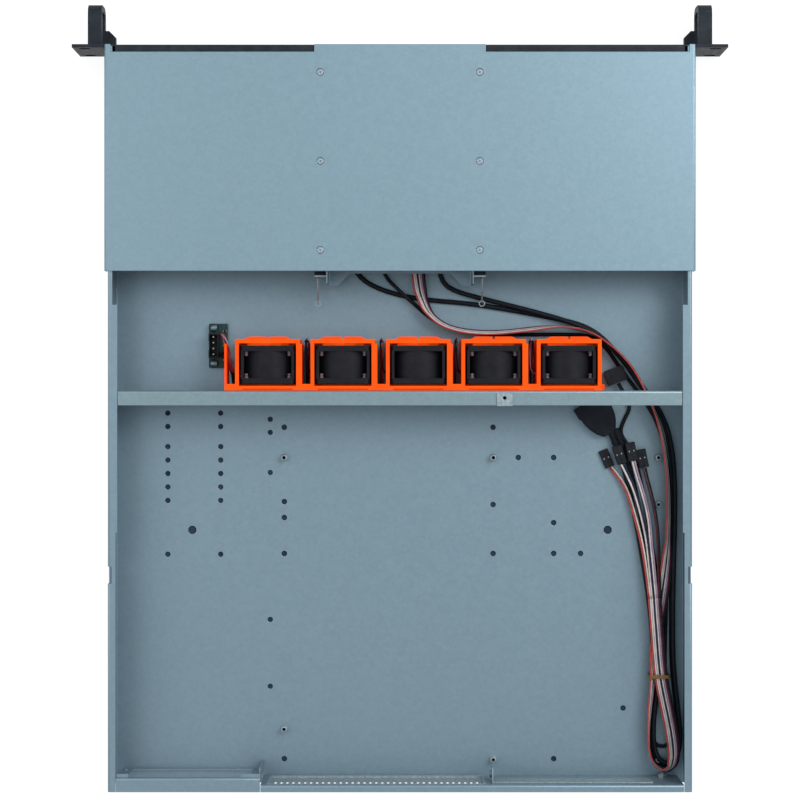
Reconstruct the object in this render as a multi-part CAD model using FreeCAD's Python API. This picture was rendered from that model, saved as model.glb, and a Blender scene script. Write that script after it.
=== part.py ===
import FreeCAD, Part
import math
import os

# Rackmount server case, one rack unit high. Millimetres; +Z up, the front panel faces -Y.
# The origin is the centre of the underside of the folded base.

os.makedirs("parts", exist_ok=True)

# Folded base
WIDTH = 430.0
DEPTH = 550.0
BASE_H = 43.0
SHEET = 1.0
BEND_R = 0.8
LIP = 7.0
FRONT_LIP = 3.4
FRONT_LIP_PAST_COVER = 24.9
REAR_LIP_STEP = 1.2
REAR_LIP_LENGTH = 190.7
SIDE_NOTCH_FROM_REAR = 165.8
SIDE_NOTCH_LENGTH = 12.4
SIDE_NOTCH_DEPTH = 3.0
SIDE_NOTCH_H = 8.0

# Front cover, fastened over the front of the base
COVER_SHARE = 0.30309
COVER_SIDE_GAP = 1.5
SKIRT_H = 11.0
COVER_NOTCH_DEPTH = 5.6
COVER_NOTCH_INNER = 63.0
COVER_NOTCH_SIDE_GAP = 2.2
COVER_SCREW_X = 58.6
COVER_SCREW_FROM_FRONT = 20.6
COVER_SCREW_FROM_REAR = 15.3
COVER_SCREW_ROWS = 3
SCREW_HEAD_R = 2.7
SCREW_HEAD_T = 0.8
SCREW_SHANK_R = 1.5

# Black front panel
PANEL_SHEET = 1.2
PANEL_FLANGE = 11.0
PANEL_FLANGE_END_GAP = 5.5
PANEL_TOP_GAP = 0.1
FRONT_VENT_W = 3.6
FRONT_VENT_H = 27.0
FRONT_VENT_PITCH = 8.2
FRONT_VENT_COUNT = 16
FRONT_VENT_START = 72.0

# Rack ears with loop handles
RACK_WIDTH = 482.6
RACK_HOLE_SPACING_X = 465.1
RACK_HOLE_SPACING_Z = 31.75
RACK_SLOT_R = 3.3
RACK_SLOT_LENGTH = 9.0
EAR_SHEET = 2.5
EAR_FLANGE = 10.5
EAR_FLANGE_T = 2.6
HANDLE_INNER = 220.6
HANDLE_W = 10.2
HANDLE_REACH = 31.4
HANDLE_H = 24.6
HANDLE_BAR = 5.0
HANDLE_CORNER_R = 7.0
BOSS_REACH = 14.5
BOSS_CHAMFER = 5.0
BOSS_GAP = 2.4

# Drive cage under the front cover
CAGE_INNER_W = 106.4
CAGE_FLANGE = 9.5
CAGE_FRONT = 13.0
CAGE_FLOOR_FRONT = 45.0
CAGE_PAST_COVER = 9.3
CAGE_FLOOR_Z = 14.0
CAGE_EAR_W = 15.5
CAGE_EAR_TIP_W = 6.0
CAGE_EAR_L = 9.0
LUG_W = 9.0
LUG_H = 16.0
LUG_TOP_GAP = 5.0
BUMPER_T = 3.0
CLIP_W = 1.2
CLIP_T = 0.6
CLIP_BELOW_CAGE = 2.0
CLIP_INSET = 1.8
CLIP_TOP_GAP = 4.0
CLIP_RISE = 10.0
CLIP_BEND = 1.3
CLIP_EYE_RIM = 0.7
CLIP_EYE_R = 1.6
CLIP_REACH = 17.0

# Fan wall: a folded bar across the case and five fans in moulded holders
FAN_WALL_SHARE = 0.46291
BAR_FLANGE = 11.0
BAR_END_GAP = 6.5
PASS_INNER = 150.0
PASS_OUTER = 203.0
PASS_H = 37.0
TAB_X = -77.0
TAB_W = 11.0
TAB_T = 0.6
TAB_OVERHANG = 0.4
TAB_HOLE_R = 1.3
FAN_COUNT = 5
FAN_PITCH = 55.5
FAN_MIDDLE_X = -13.5
FAN_SIZE = 40.0
FAN_DEPTH = 28.0
FAN_FLANGE = 4.0
FAN_BORE_R = 18.6
BARREL_SIDES = 12
BORE_SIDES = 20
HUB_SIDES = 16
FAN_HUB_R = 9.6
FAN_HUB_FLOOR = 3.0
STRUT_W = 2.4
STRUT_SINK = 0.6
SHAFT_R = 1.5
SHAFT_CLEARANCE = 0.05
ROTOR_GAP = 0.5
ROTOR_L = 21.0
TIP_CLEARANCE = 0.45
BLADES = 5
BLADE_CHORD_AXIAL = 12.0
BLADE_CHORD_TANGENT = 9.0
BLADE_CAMBER = 1.3
BLADE_T = 0.8
BLADE_ROOT_SINK = 1.2
FAN_RIVET_SPACING = 32.0
FAN_RIVET_R = 1.7
FAN_RIVET_L = 3.6

# Orange moulded fan holders
HOLDER_FLOOR = 0.8
HOLDER_RIM_DROP = 0.6
HOLDER_SIDE_CLEARANCE = 1.1
HOLDER_END_CLEARANCE = 0.2
HOLDER_SIDE_WALL = 2.7
HOLDER_FRONT_WALL = 4.6
HOLDER_REAR_WALL = 4.8
HOLDER_AIR_R = 18.8
AIR_SIDES = 14
HOLDER_BOSS_W = 34.0
HOLDER_BOSS_TOP_W = 27.0
HOLDER_BOSS_T = 1.9
HOLDER_BOSS_LOW = 2.0
HOLDER_BOSS_TOP_GAP = 1.5
ARM_END_WALL = 1.5
ARM_REACH = 34.4
ARM_WALL_Z = 14.0
BRIDGE_Z = 24.0
STUB_L = 5.2
STUB_Z = 4.0
STUB_H = 7.5
STUB_STEP = 0.5
LEAD_WINDOW_W = 5.0
LEAD_WINDOW_Z = 22.5
LEAD_WINDOW_H = 8.0
LEAD_FROM_HOLDER = 3.4
LEAD_SLOT_W = 8.0
LEAD_SLOT_Z = 9.0
LEAD_SLOT_H = 11.0
LEAD_HOLE = 5.0
LEAD_HOLE_Z = 13.6

# Fan hub board on the floor beside the holders
HUB_BOARD_X = 129.8
HUB_BOARD_W = 14.0
HUB_BOARD_L = 33.2
HUB_BOARD_TO_BAR = 50.4
HUB_BOARD_T = 1.6
HUB_SPACER = 2.0
HUB_HEADER_W = 7.4
HUB_HEADER_H = 9.4
HUB_HEADER_PINS = 4
HUB_HEADER_PITCH = 5.08
HUB_PIN = 1.1
HUB_HEADER_FROM_FRONT = 7.6
HUB_SCREW_INSET = 3.2
HUB_HEADER_EDGE = 0.4
HUB_HEADER_WALL = 0.9
HUB_HEADER_FLOOR = 1.5
HUB_HEADER_END = 1.1
HUB_PIN_PITCH = 4.37

# Motherboard tray: the ATX grid counts from its rear left hole
ATX_X = 87.3
ATX_FROM_REAR_WALL = 12.3
BOARD_HOLE_R = 2.0
STANDOFF_R = 2.9
STANDOFF_H = 6.0
STANDOFF_BORE_R = 1.25
STANDOFF_BORE_DEPTH = 5.0
PSU_HOLE_R = 1.9
PSU_COLUMNS = (175.2, 135.3)
PSU_ROW_START = 278.6
PSU_PITCH = 10.15
LOCATOR_HOLE_R = 3.0
LOCATOR_X = 156.7
LOCATOR_FROM_REAR = 190.4

# Rear wall
REAR_INSET = 5.4
IO_WIDTH = 158.75
IO_RIGHT = 96.9
IO_Z = 5.2
IO_TOP_GAP = 3.4
SHIELD_SHEET = 0.4
SHIELD_DEPTH = 1.5
SHIELD_MARGIN = 4.0
SHIELD_RIM = 3.0
SHIELD_SLOT_W = 1.6
SHIELD_SLOT_PITCH = 4.4
SHIELD_SLOT_Z = 24.0
SHIELD_SLOT_H = 11.0
CARD_SLOT_W = 106.0
CARD_SLOT_H = 13.5
CARD_SLOT_RIGHT = -74.0
CARD_SLOT_Z = 20.0
CARD_COVER_L = 119.0
CARD_COVER_H = 18.4
CARD_COVER_LAP = 6.0
CARD_COVER_TAB = 11.0
CARD_COVER_SHEET = 0.9
VENT_W = 6.0
VENT_PITCH = 7.9
VENT_COUNT = 10
VENT_ROW_H = 2.4
LOW_VENT_Z = 7.0
LOW_VENT_RIGHT = -94.0
PSU_WALL_INSET = 10.6
PSU_WALL_LEFT = 209.0
PSU_OPENING_W = 90.0
PSU_STRIP_W = 8.0
PSU_WALL_RIGHT = PSU_WALL_LEFT - PSU_OPENING_W - 2 * PSU_STRIP_W
PSU_SCREW_LOW = 4.0
PSU_SCREW_TOP_GAP = 6.0
PSU_FLANGE_TOP_GAP = 6.0
PSU_OPENING_H = 35.0
PSU_OPENING_Z = 4.0
PSU_TAB_L = 2.6
PSU_TAB_OUTER_W = 9.0
PSU_TAB_INNER_W = 14.0
PSU_SIDE_FLANGE = 6.5
PSU_SCREW_HOLE_R = 1.75
SEAM = 0.3
STUD_R = 1.5
STUD_OUT = 4.6
STUD_X = -197.0
STUD_Z = 9.0
NUT_R = 3.2
NUT_T = 2.4
SMALL_SCREW_R = 2.9
HUB_SCREW_R = SMALL_SCREW_R - 0.4
SMALL_SCREW_H = 1.6

# Front controls
POWER_X = -46.5
RESET_X = 47.0
BUTTON_Z = 20.0
POWER_SIZE = 7.0
RESET_SIZE = 3.2
BUTTON_CLEARANCE = 0.3
BUTTON_COLLAR = 1.0
BUTTON_COLLAR_T = 1.6
BUTTON_TRAVEL = 1.2
POWER_PROUD = 1.4
BUTTON_END_GAP = 0.4
BUTTON_L = 9.0
PORT_X = (34.5, -31.5)
PORT_W = 13.6
PORT_H = 6.4
PORT_L = 19.0
PORT_WALL = 0.8
PORT_CLEARANCE = 0.2
IO_BOARD_Z = 9.0
IO_BOARD_T = 1.6
IO_BOARD_LEFT = 52.0
IO_BOARD_RIGHT = -52.0
IO_BOARD_REAR = 19.5
IO_BOARD_FRONT_GAP = 1.0
IO_BOARD_FOOT_INSET = 4.0
SWITCH_W = 9.0
SWITCH_L = 5.0
SWITCH_ABOVE = 4.0
PORT_TONGUE_INSET = 2.0
PORT_TONGUE_T = 1.4
PORT_RECESS = 0.2
PIN_HEADER_W = 8.0
PIN_HEADER_H = 6.8
PIN_HEADER_L = 7.0
PIN_HEADER_X = (12.5, -10.5)

# Connectors: width, length and thickness of the plain ones, and where the two larger ones lie
HOOD_T = 8.0
HOOD_MOUTH_W = 27.0
HOOD_MOUTH_DEPTH = 6.0
HOOD_WALL = 2.05
HOOD_HEAD_L = 9.0
HOOD_SHOULDER = 1.0
HOOD_HOLLOW = 1.5
HOOD_HOLLOW_AT = 19.4
HOOD_END_W = 12.0
HOOD_L = 31.3
HOOD_PLACE = (-142.0, -12.8, 6.3)
HOOD_TURN = 32.4
FLAT_PLUG = (15.0, 11.5, 5.6)
FLAT_PLUG_PLACE = (-161.8, -31.8, 8)
FLAT_PLUG_TURN = 20
PANEL_PLUG = (5.1, 14.0, 2.6)
PLUG_KEY_H = 0.4
PLUG_GAP = 0.3

# The strap round the bundle of cables
TIE_T = 0.7
TIE_W = 2.6
TIE_CORNER = 1.6
TIE_RIGHT = -202.2
TIE_LEFT = -186.3
TIE_LOW = 1.1
TIE_HIGH = 15.9
TIE_Y = 192.4

# Cords, on routes drawn for a case of this depth
DRAWN_DEPTH = 550.0
USB_D = 3.6
AUDIO_D = 2.8
RIBBON_D = 5.0
PAIR_D = 2.2
FAN_LEAD_D = 2.2
HARNESS_D = 3.4

FRONT = -DEPTH / 2
REAR = DEPTH / 2
SIDE = WIDTH / 2
FLOOR = SHEET
TOP = BASE_H
COVER_REAR = FRONT + DEPTH * COVER_SHARE
CAGE_REAR = COVER_REAR + CAGE_PAST_COVER
BAR_Y = FRONT + DEPTH * FAN_WALL_SHARE
HOLDER_REAR = BAR_Y
FAN_REAR = HOLDER_REAR - HOLDER_REAR_WALL - HOLDER_END_CLEARANCE
FAN_FRONT = FAN_REAR - FAN_DEPTH
HOLDER_FRONT = FAN_FRONT - HOLDER_END_CLEARANCE - HOLDER_FRONT_WALL
FAN_BOTTOM = FLOOR + HOLDER_FLOOR
FAN_Z = FAN_BOTTOM + FAN_SIZE / 2
HOLDER_TOP = TOP - HOLDER_RIM_DROP
HOLDER_HALF = FAN_SIZE / 2 + HOLDER_SIDE_CLEARANCE + HOLDER_SIDE_WALL
FAN_XS = [FAN_MIDDLE_X + (FAN_COUNT // 2 - i) * FAN_PITCH for i in range(FAN_COUNT)]
REAR_WALL = REAR - REAR_INSET
ATX_Y = REAR_WALL - ATX_FROM_REAR_WALL
PSU_WALL = REAR - PSU_WALL_INSET
PSU_SIDE = min(PSU_WALL_LEFT, SIDE - SHEET - SEAM)
BAR_HALF = SIDE - SHEET - BAR_END_GAP

# The motherboard grid: distances from the rear left hole, across and forwards.
STANDOFF_GRID = [
    (0, 227.3), (157.5, 227.3), (0, 22.9), (157.5, 0), (281.9, 227.3), (281.9, 192.0), (281.9, 0),
]
BOARD_HOLES = [
    (0, 250.2), (0, 194.0), (0, 182.0), (0, 154.9), (0, 0), (157.5, 250.2), (157.5, 191.8), (157.5, 154.9),
    (176.5, 227.3), (203.2, 227.3), (203.2, 178.1), (203.2, 154.9), (203.2, 0), (223.5, 154.9), (255.6, 38.3),
]
# Small holes for the power supply, and a loose column beside it: distances from the rear.
SUPPLY_SIDE_COLUMN_X = 97.9
SUPPLY_SIDE_ROWS = (273.9, 264.0, 233.7, 122.8, 72.4)
PSU_ROWS = [PSU_ROW_START - PSU_PITCH * n for n in (0, 1, 2.5, 3.5, 4.5, 5.5, 6.5, 10.5)]

X_AXIS = FreeCAD.Vector(1, 0, 0)
Y_AXIS = FreeCAD.Vector(0, 1, 0)
Z_AXIS = FreeCAD.Vector(0, 0, 1)


def vec(x, y, z):
    return FreeCAD.Vector(x, y, z)


def block(xs, ys, zs):
    """A box between pairs of coordinates, given in any order."""
    low = [min(pair) for pair in (xs, ys, zs)]
    size = [max(pair) - min(pair) for pair in (xs, ys, zs)]
    return Part.makeBox(*size, vec(*low))


def rod(centre, axis, radius, length):
    """A cylinder that starts at centre and runs along axis."""
    return Part.makeCylinder(radius, length, vec(*centre), axis)


def many_sided(centre, axis, radius, length, sides=8):
    """A regular prism with its flats on the given radius, for small round holes and pins that stay light."""
    corner = radius / math.cos(math.pi / sides)
    ring = []
    for k in range(sides):
        angle = 2 * math.pi * (k + 0.5) / sides
        a, b = corner * math.cos(angle), corner * math.sin(angle)
        ring.append(vec(*centre) + (vec(a, b, 0) if axis == Z_AXIS else vec(a, 0, b)))
    return Part.Face(Part.makePolygon(ring + ring[:1])).extrude(axis * length)


def prism(points, start, end, across=Z_AXIS):
    """A polygon of 2-D points pushed from start to end: in XY along Z, or in YZ along X."""
    if across == Z_AXIS:
        corners = [vec(x, y, start) for x, y in points]
    else:
        corners = [vec(start, y, z) for y, z in points]
    face = Part.Face(Part.makePolygon(corners + corners[:1]))
    return face.extrude(across * (end - start))


def joined(shapes):
    solid = shapes[0].fuse(shapes[1:]) if len(shapes) > 1 else shapes[0]
    return solid.removeSplitter()


def mirrored(shape):
    return shape.mirror(vec(0, 0, 0), X_AXIS)


def save(name, shape):
    if not shape.isValid() or not shape.Solids:
        raise ValueError(name + " is not a valid solid")
    clean = Part.makeCompound(shape.Solids) if len(shape.Solids) > 1 else shape.Solids[0]
    clean.exportStep("parts/" + name + ".step")


def folded(line, thickness, start, end, across):
    """A bent sheet: its middle follows the 2-D points of line, and it is pushed from start to end."""
    half = thickness / 2
    radius = BEND_R + half
    sides = {1: [], -1: []}
    spots = {1: [], -1: []}

    def unit(a, b):
        length = math.hypot(b[0] - a[0], b[1] - a[1])
        return ((b[0] - a[0]) / length, (b[1] - a[1]) / length)

    def place(point):
        if across == Y_AXIS:
            return vec(point[0], start, point[1])
        return vec(start, point[0], point[1])

    for side in (1, -1):
        d = unit(line[0], line[1])
        spots[side].append((line[0][0] - d[1] * half * side, line[0][1] + d[0] * half * side))
    for a, b, c in zip(line, line[1:], line[2:]):
        d1, d2 = unit(a, b), unit(b, c)
        cross = d1[0] * d2[1] - d1[1] * d2[0]
        turn = math.atan2(cross, d1[0] * d2[0] + d1[1] * d2[1])
        way = 1 if turn > 0 else -1
        reach = radius * math.tan(abs(turn) / 2)
        begin = (b[0] - d1[0] * reach, b[1] - d1[1] * reach)
        centre = (begin[0] - d1[1] * radius * way, begin[1] + d1[0] * radius * way)
        for side in (1, -1):
            arm = radius - half * side * way
            arc = []
            for share in (0, 0.5, 1):
                angle = math.atan2(begin[1] - centre[1], begin[0] - centre[0]) + turn * share
                arc.append((centre[0] + arm * math.cos(angle), centre[1] + arm * math.sin(angle)))
            sides[side].append(Part.LineSegment(place(spots[side][-1]), place(arc[0])).toShape())
            sides[side].append(Part.Arc(*[place(p) for p in arc]).toShape())
            spots[side].append(arc[2])
    for side in (1, -1):
        d = unit(line[-2], line[-1])
        last = (line[-1][0] - d[1] * half * side, line[-1][1] + d[0] * half * side)
        sides[side].append(Part.LineSegment(place(spots[side][-1]), place(last)).toShape())
        spots[side].append(last)
    ends = [Part.LineSegment(place(spots[1][k]), place(spots[-1][k])).toShape() for k in (0, -1)]
    wire = Part.Wire(Part.__sortEdges__(sides[1] + sides[-1] + ends))
    return Part.Face(wire).extrude(across * (end - start))


def slot_hole(centre, axis_length, radius, depth):
    """A round-ended hole through a plate that faces Y, its long way along X."""
    x, y, z = centre
    half = axis_length / 2 - radius
    ends = [rod((x + k * half, y, z), Y_AXIS, radius, depth) for k in (-1, 1)]
    return joined(ends + [block((x - half, x + half), (y, y + depth), (z - radius, z + radius))])


def cord(points, diameter, name):
    """A square tube on straight runs joined by tangent arcs, each as large as its runs allow.

    Its section has the area of the round cord's, so that the tube stays light and still weighs the same.
    """
    spots = [vec(*p) for p in points]
    edges = []
    radii = []
    last = spots[0]
    for a, b, c in zip(spots, spots[1:], spots[2:]):
        d1, d2 = (b - a).normalize(), (c - b).normalize()
        turn = math.atan2(d1.cross(d2).Length, d1.dot(d2))
        reach = 0.45 * min((b - a).Length, (c - b).Length)
        radii.append(reach / math.tan(turn / 2))
        begin, end = b - d1 * reach, b + d2 * reach
        bulge = (d2 - d1).normalize()
        middle = b + bulge * radii[-1] * (1 / math.cos(turn / 2) - 1)
        edges.append(Part.LineSegment(last, begin).toShape())
        edges.append(Part.Arc(begin, middle, end).toShape())
        last = end
    edges.append(Part.LineSegment(last, spots[-1]).toShape())
    path = Part.Wire(edges)
    ahead = (spots[1] - spots[0]).normalize()
    across = ahead.cross(Z_AXIS).normalize()
    up = across.cross(ahead)
    side = diameter * math.sqrt(math.pi) / 2
    corners = [(-1, -1), (1, -1), (1, 1), (-1, 1)]
    ring = [spots[0] + (across * a + up * b) * (side / 2) for a, b in corners]
    tube = Part.BRepOffsetAPI.MakePipeShell(path)
    tube.setFrenetMode(False)
    tube.add(Part.makePolygon(ring + ring[:1]))
    tube.build()
    tube.makeSolid()
    solid = tube.shape()
    share = solid.Volume / (side ** 2 * path.Length)
    print(f"{name}: length {path.Length:.0f}, tightest radius {min(radii):.1f}, volume share {share:.3f}")
    return solid


def lay(name, route, diameter):
    save(name, cord(fitted(route), diameter, name))


def make_base():
    mid = SHEET / 2
    inner = SIDE - LIP
    line = [
        (-inner, TOP - mid), (-SIDE + mid, TOP - mid), (-SIDE + mid, mid),
        (SIDE - mid, mid), (SIDE - mid, TOP - mid), (inner, TOP - mid),
    ]
    base = folded(line, SHEET, FRONT + PANEL_SHEET, REAR, Y_AXIS)
    cuts = []
    lip_z = (TOP - SHEET - BEND_R, TOP + SHEET)
    for side in (-1, 1):
        narrow = side * (SIDE - FRONT_LIP)
        cuts.append(block((side * inner * 0.9, narrow), (FRONT, COVER_REAR + FRONT_LIP_PAST_COVER), lip_z))
        stepped = side * (inner + REAR_LIP_STEP)
        cuts.append(block((side * inner * 0.9, stepped), (REAR - REAR_LIP_LENGTH, REAR + SHEET), lip_z))
        notch_y = REAR - SIDE_NOTCH_FROM_REAR
        cuts.append(block(
            (side * (SIDE - SIDE_NOTCH_DEPTH), side * (SIDE + SHEET)),
            (notch_y, notch_y + SIDE_NOTCH_LENGTH), (TOP - SIDE_NOTCH_H, TOP + SHEET)))
    holes = [(side * LOCATOR_X, REAR - LOCATOR_FROM_REAR, LOCATOR_HOLE_R) for side in (-1, 1)]
    holes += [(ATX_X - x, ATX_Y - y, BOARD_HOLE_R) for x, y in BOARD_HOLES]
    holes += [(x, REAR - row, PSU_HOLE_R) for x in PSU_COLUMNS for row in PSU_ROWS]
    holes += [(SUPPLY_SIDE_COLUMN_X, REAR - row, PSU_HOLE_R) for row in SUPPLY_SIDE_ROWS]
    for x, y, radius in holes:
        cuts.append(many_sided((x, y, -SHEET), Z_AXIS, radius, 3 * SHEET))
    return base.cut(cuts)


def cover_screw_places():
    first, last = FRONT + COVER_SCREW_FROM_FRONT, COVER_REAR - COVER_SCREW_FROM_REAR
    pitch = (last - first) / (COVER_SCREW_ROWS - 1)
    rows = [first + n * pitch for n in range(COVER_SCREW_ROWS)]
    return [(side * COVER_SCREW_X, y) for side in (-1, 1) for y in rows]


def make_cover():
    mid = SHEET / 2
    outer = SIDE + COVER_SIDE_GAP + mid
    line = [(-outer, TOP - SKIRT_H), (-outer, TOP + mid), (outer, TOP + mid), (outer, TOP - SKIRT_H)]
    cover = folded(line, SHEET, FRONT, COVER_REAR, Y_AXIS)
    cuts = []
    for side in (-1, 1):
        cuts.append(block(
            (side * COVER_NOTCH_INNER, side * (SIDE - COVER_NOTCH_SIDE_GAP)),
            (FRONT - SHEET, FRONT + COVER_NOTCH_DEPTH), (TOP - SHEET, TOP + 2 * SHEET)))
    for x, y in cover_screw_places():
        cuts.append(many_sided((x, y, TOP - 0.5), Z_AXIS, SCREW_HEAD_R, 2 * SHEET))
    return cover.cut(cuts)


def make_cover_screws():
    screws = []
    for x, y in cover_screw_places():
        head = many_sided((x, y, TOP), Z_AXIS, SCREW_HEAD_R, SCREW_HEAD_T)
        screws.append(joined([head, many_sided((x, y, TOP - SHEET), Z_AXIS, SCREW_SHANK_R, SHEET)]))
    return Part.makeCompound(screws)


def button_places():
    return [(POWER_X, POWER_SIZE), (RESET_X, RESET_SIZE)]


def make_front_panel():
    mid = PANEL_SHEET / 2
    low = FLOOR
    high = TOP - PANEL_TOP_GAP
    rear = FRONT + PANEL_SHEET + PANEL_FLANGE
    line = [(rear, low + mid), (FRONT + mid, low + mid), (FRONT + mid, high - mid), (rear, high - mid)]
    panel = folded(line, PANEL_SHEET, -SIDE, SIDE, X_AXIS)
    cuts = []
    behind = (FRONT + PANEL_SHEET, rear + SHEET)
    through = (FRONT - 1, FRONT + PANEL_SHEET + 1)
    for side in (-1, 1):
        end = (side * (SIDE - PANEL_FLANGE_END_GAP), side * (SIDE + SHEET))
        cuts.append(block(end, behind, (-SHEET, TOP + SHEET)))
        for n in range(FRONT_VENT_COUNT):
            x = side * (FRONT_VENT_START + n * FRONT_VENT_PITCH)
            middle = (low + high) / 2
            cuts.append(block(
                (x - FRONT_VENT_W / 2, x + FRONT_VENT_W / 2), through,
                (middle - FRONT_VENT_H / 2, middle + FRONT_VENT_H / 2)))
    for x, size in button_places():
        half = size / 2 + BUTTON_CLEARANCE
        cuts.append(block((x - half, x + half), through, (BUTTON_Z - half, BUTTON_Z + half)))
    for x in PORT_X:
        port_z = IO_BOARD_Z + IO_BOARD_T
        cuts.append(block(
            (x - PORT_W / 2 - PORT_CLEARANCE, x + PORT_W / 2 + PORT_CLEARANCE), through,
            (port_z - PORT_CLEARANCE, port_z + PORT_H + PORT_CLEARANCE)))
    return panel.cut(cuts)


def make_handle():
    """The ear and handle on the +X side: one casting."""
    ear_top = TOP + SHEET
    outer = RACK_WIDTH / 2
    skirt_outer = SIDE + COVER_SIDE_GAP + SHEET + SEAM
    ear = block((SIDE, outer), (FRONT, FRONT + EAR_SHEET), (FLOOR / 2, ear_top - FLOOR / 2))
    flange = block(
        (SIDE, SIDE + EAR_FLANGE_T), (FRONT, FRONT + EAR_SHEET + EAR_FLANGE), (FLOOR, TOP - SKIRT_H - SEAM))
    middle = ear_top / 2
    low, high = middle - HANDLE_H / 2, middle + HANDLE_H / 2
    tip = FRONT - HANDLE_REACH
    loop = block((HANDLE_INNER, HANDLE_INNER + HANDLE_W), (tip, FRONT), (low, high))
    along = [e for e in loop.Edges if abs(e.tangentAt(e.FirstParameter).x) > 0.9]
    loop = loop.makeFillet(HANDLE_CORNER_R, [e for e in along if e.CenterOfMass.y < FRONT - 1])
    gap = block(
        (HANDLE_INNER - 1, HANDLE_INNER + HANDLE_W + 1), (tip + HANDLE_BAR, FRONT),
        (low + HANDLE_BAR, high - HANDLE_BAR))
    inner_r = HANDLE_CORNER_R - HANDLE_BAR
    along = [e for e in gap.Edges if abs(e.tangentAt(e.FirstParameter).x) > 0.9]
    gap = gap.makeFillet(inner_r, [e for e in along if e.CenterOfMass.y < FRONT - 1])
    boss_inner = SIDE - BOSS_GAP
    boss = prism(
        [(boss_inner, FRONT), (boss_inner, FRONT - BOSS_REACH + BOSS_CHAMFER),
         (boss_inner + BOSS_CHAMFER, FRONT - BOSS_REACH), (HANDLE_INNER + HANDLE_W / 2, FRONT - BOSS_REACH),
         (HANDLE_INNER + HANDLE_W / 2, FRONT)], low, low + HANDLE_BAR)
    shape = joined([ear, flange, loop.cut(gap), boss])
    cuts = [block((SIDE - SHEET, skirt_outer), (FRONT, FRONT + EAR_SHEET), (TOP - SKIRT_H - SEAM, ear_top))]
    for side in (-1, 1):
        spot = (RACK_HOLE_SPACING_X / 2, FRONT - 1, middle + side * RACK_HOLE_SPACING_Z / 2)
        cuts.append(slot_hole(spot, RACK_SLOT_LENGTH, RACK_SLOT_R, EAR_SHEET + 2))
    return shape.cut(cuts)


def cage_half():
    return CAGE_INNER_W / 2 + SHEET


def lug_box(side):
    half = cage_half()
    return (side * (half - SHEET), side * (half + LUG_W)), (TOP - LUG_TOP_GAP - LUG_H, TOP - LUG_TOP_GAP)


def make_cage():
    mid = SHEET / 2
    half = cage_half() - mid
    flange = half + mid + CAGE_FLANGE
    line = [
        (-flange, TOP - mid), (-half, TOP - mid), (-half, CAGE_FLOOR_Z + mid),
        (half, CAGE_FLOOR_Z + mid), (half, TOP - mid), (flange, TOP - mid),
    ]
    rear = CAGE_REAR
    cage = folded(line, SHEET, FRONT + CAGE_FRONT, rear, Y_AXIS)
    inner = CAGE_INNER_W / 2
    floor_z = (CAGE_FLOOR_Z - 1, CAGE_FLOOR_Z + SHEET + BEND_R)
    cuts = [block((-half * 2, half * 2), (FRONT, FRONT + CAGE_FLOOR_FRONT), floor_z)]
    ear, tip = inner - CAGE_EAR_W, inner - CAGE_EAR_TIP_W
    cuts.append(prism(
        [(-ear, rear - CAGE_EAR_L), (-tip, rear + 1), (tip, rear + 1), (ear, rear - CAGE_EAR_L)], *floor_z))
    for side in (-1, 1):
        beside = (side * (half + mid), side * (flange + 1))
        cuts.append(block(beside, (COVER_REAR - 1, rear + 1), (TOP - 2 * SHEET, TOP + 1)))
        for x, y in cover_screw_places():
            if x * side > 0:
                cuts.append(many_sided((x, y, TOP - 2 * SHEET), Z_AXIS, SCREW_SHANK_R, 3 * SHEET))
    cage = cage.cut(cuts)
    lugs = []
    for side in (-1, 1):
        xs, zs = lug_box(side)
        lug_y = COVER_REAR + BUMPER_T
        lugs.append(block(xs, (lug_y, lug_y + SHEET), zs))
    return joined([cage] + lugs)


def make_bumpers():
    pads = []
    for side in (-1, 1):
        xs, zs = lug_box(side)
        outside = (side * cage_half(), xs[1])
        pads.append(block(outside, (COVER_REAR, COVER_REAR + BUMPER_T), zs))
    return Part.makeCompound(pads)


def make_clips():
    """A sprung strip behind each lug, bent back along the case, with an eye at its loose end."""
    clips = []
    low = CAGE_FLOOR_Z - CLIP_BELOW_CAGE
    for side in (-1, 1):
        xs, zs = lug_box(side)
        x = side * (cage_half() + LUG_W - CLIP_INSET)
        y = COVER_REAR + BUMPER_T + SHEET
        end = y + CLIP_REACH
        across = (x - CLIP_W / 2, x + CLIP_W / 2)
        high, bend = zs[1] - CLIP_TOP_GAP, low + CLIP_RISE
        strip = prism(
            [(y, high), (y + CLIP_T, high), (y + CLIP_T, bend), (end, low + CLIP_T), (end, low),
             (y + CLIP_T, bend - CLIP_BEND * CLIP_T), (y, bend - CLIP_T)], across[0], across[1], X_AXIS)
        eye = many_sided((x, end + CLIP_EYE_R, low), Z_AXIS, CLIP_EYE_R + CLIP_EYE_RIM, CLIP_T)
        hole = many_sided((x, end + CLIP_EYE_R, low - 1), Z_AXIS, CLIP_EYE_R, CLIP_T + 2)
        clips.append(joined([strip, eye]).cut(hole))
    return Part.makeCompound(clips)


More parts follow.
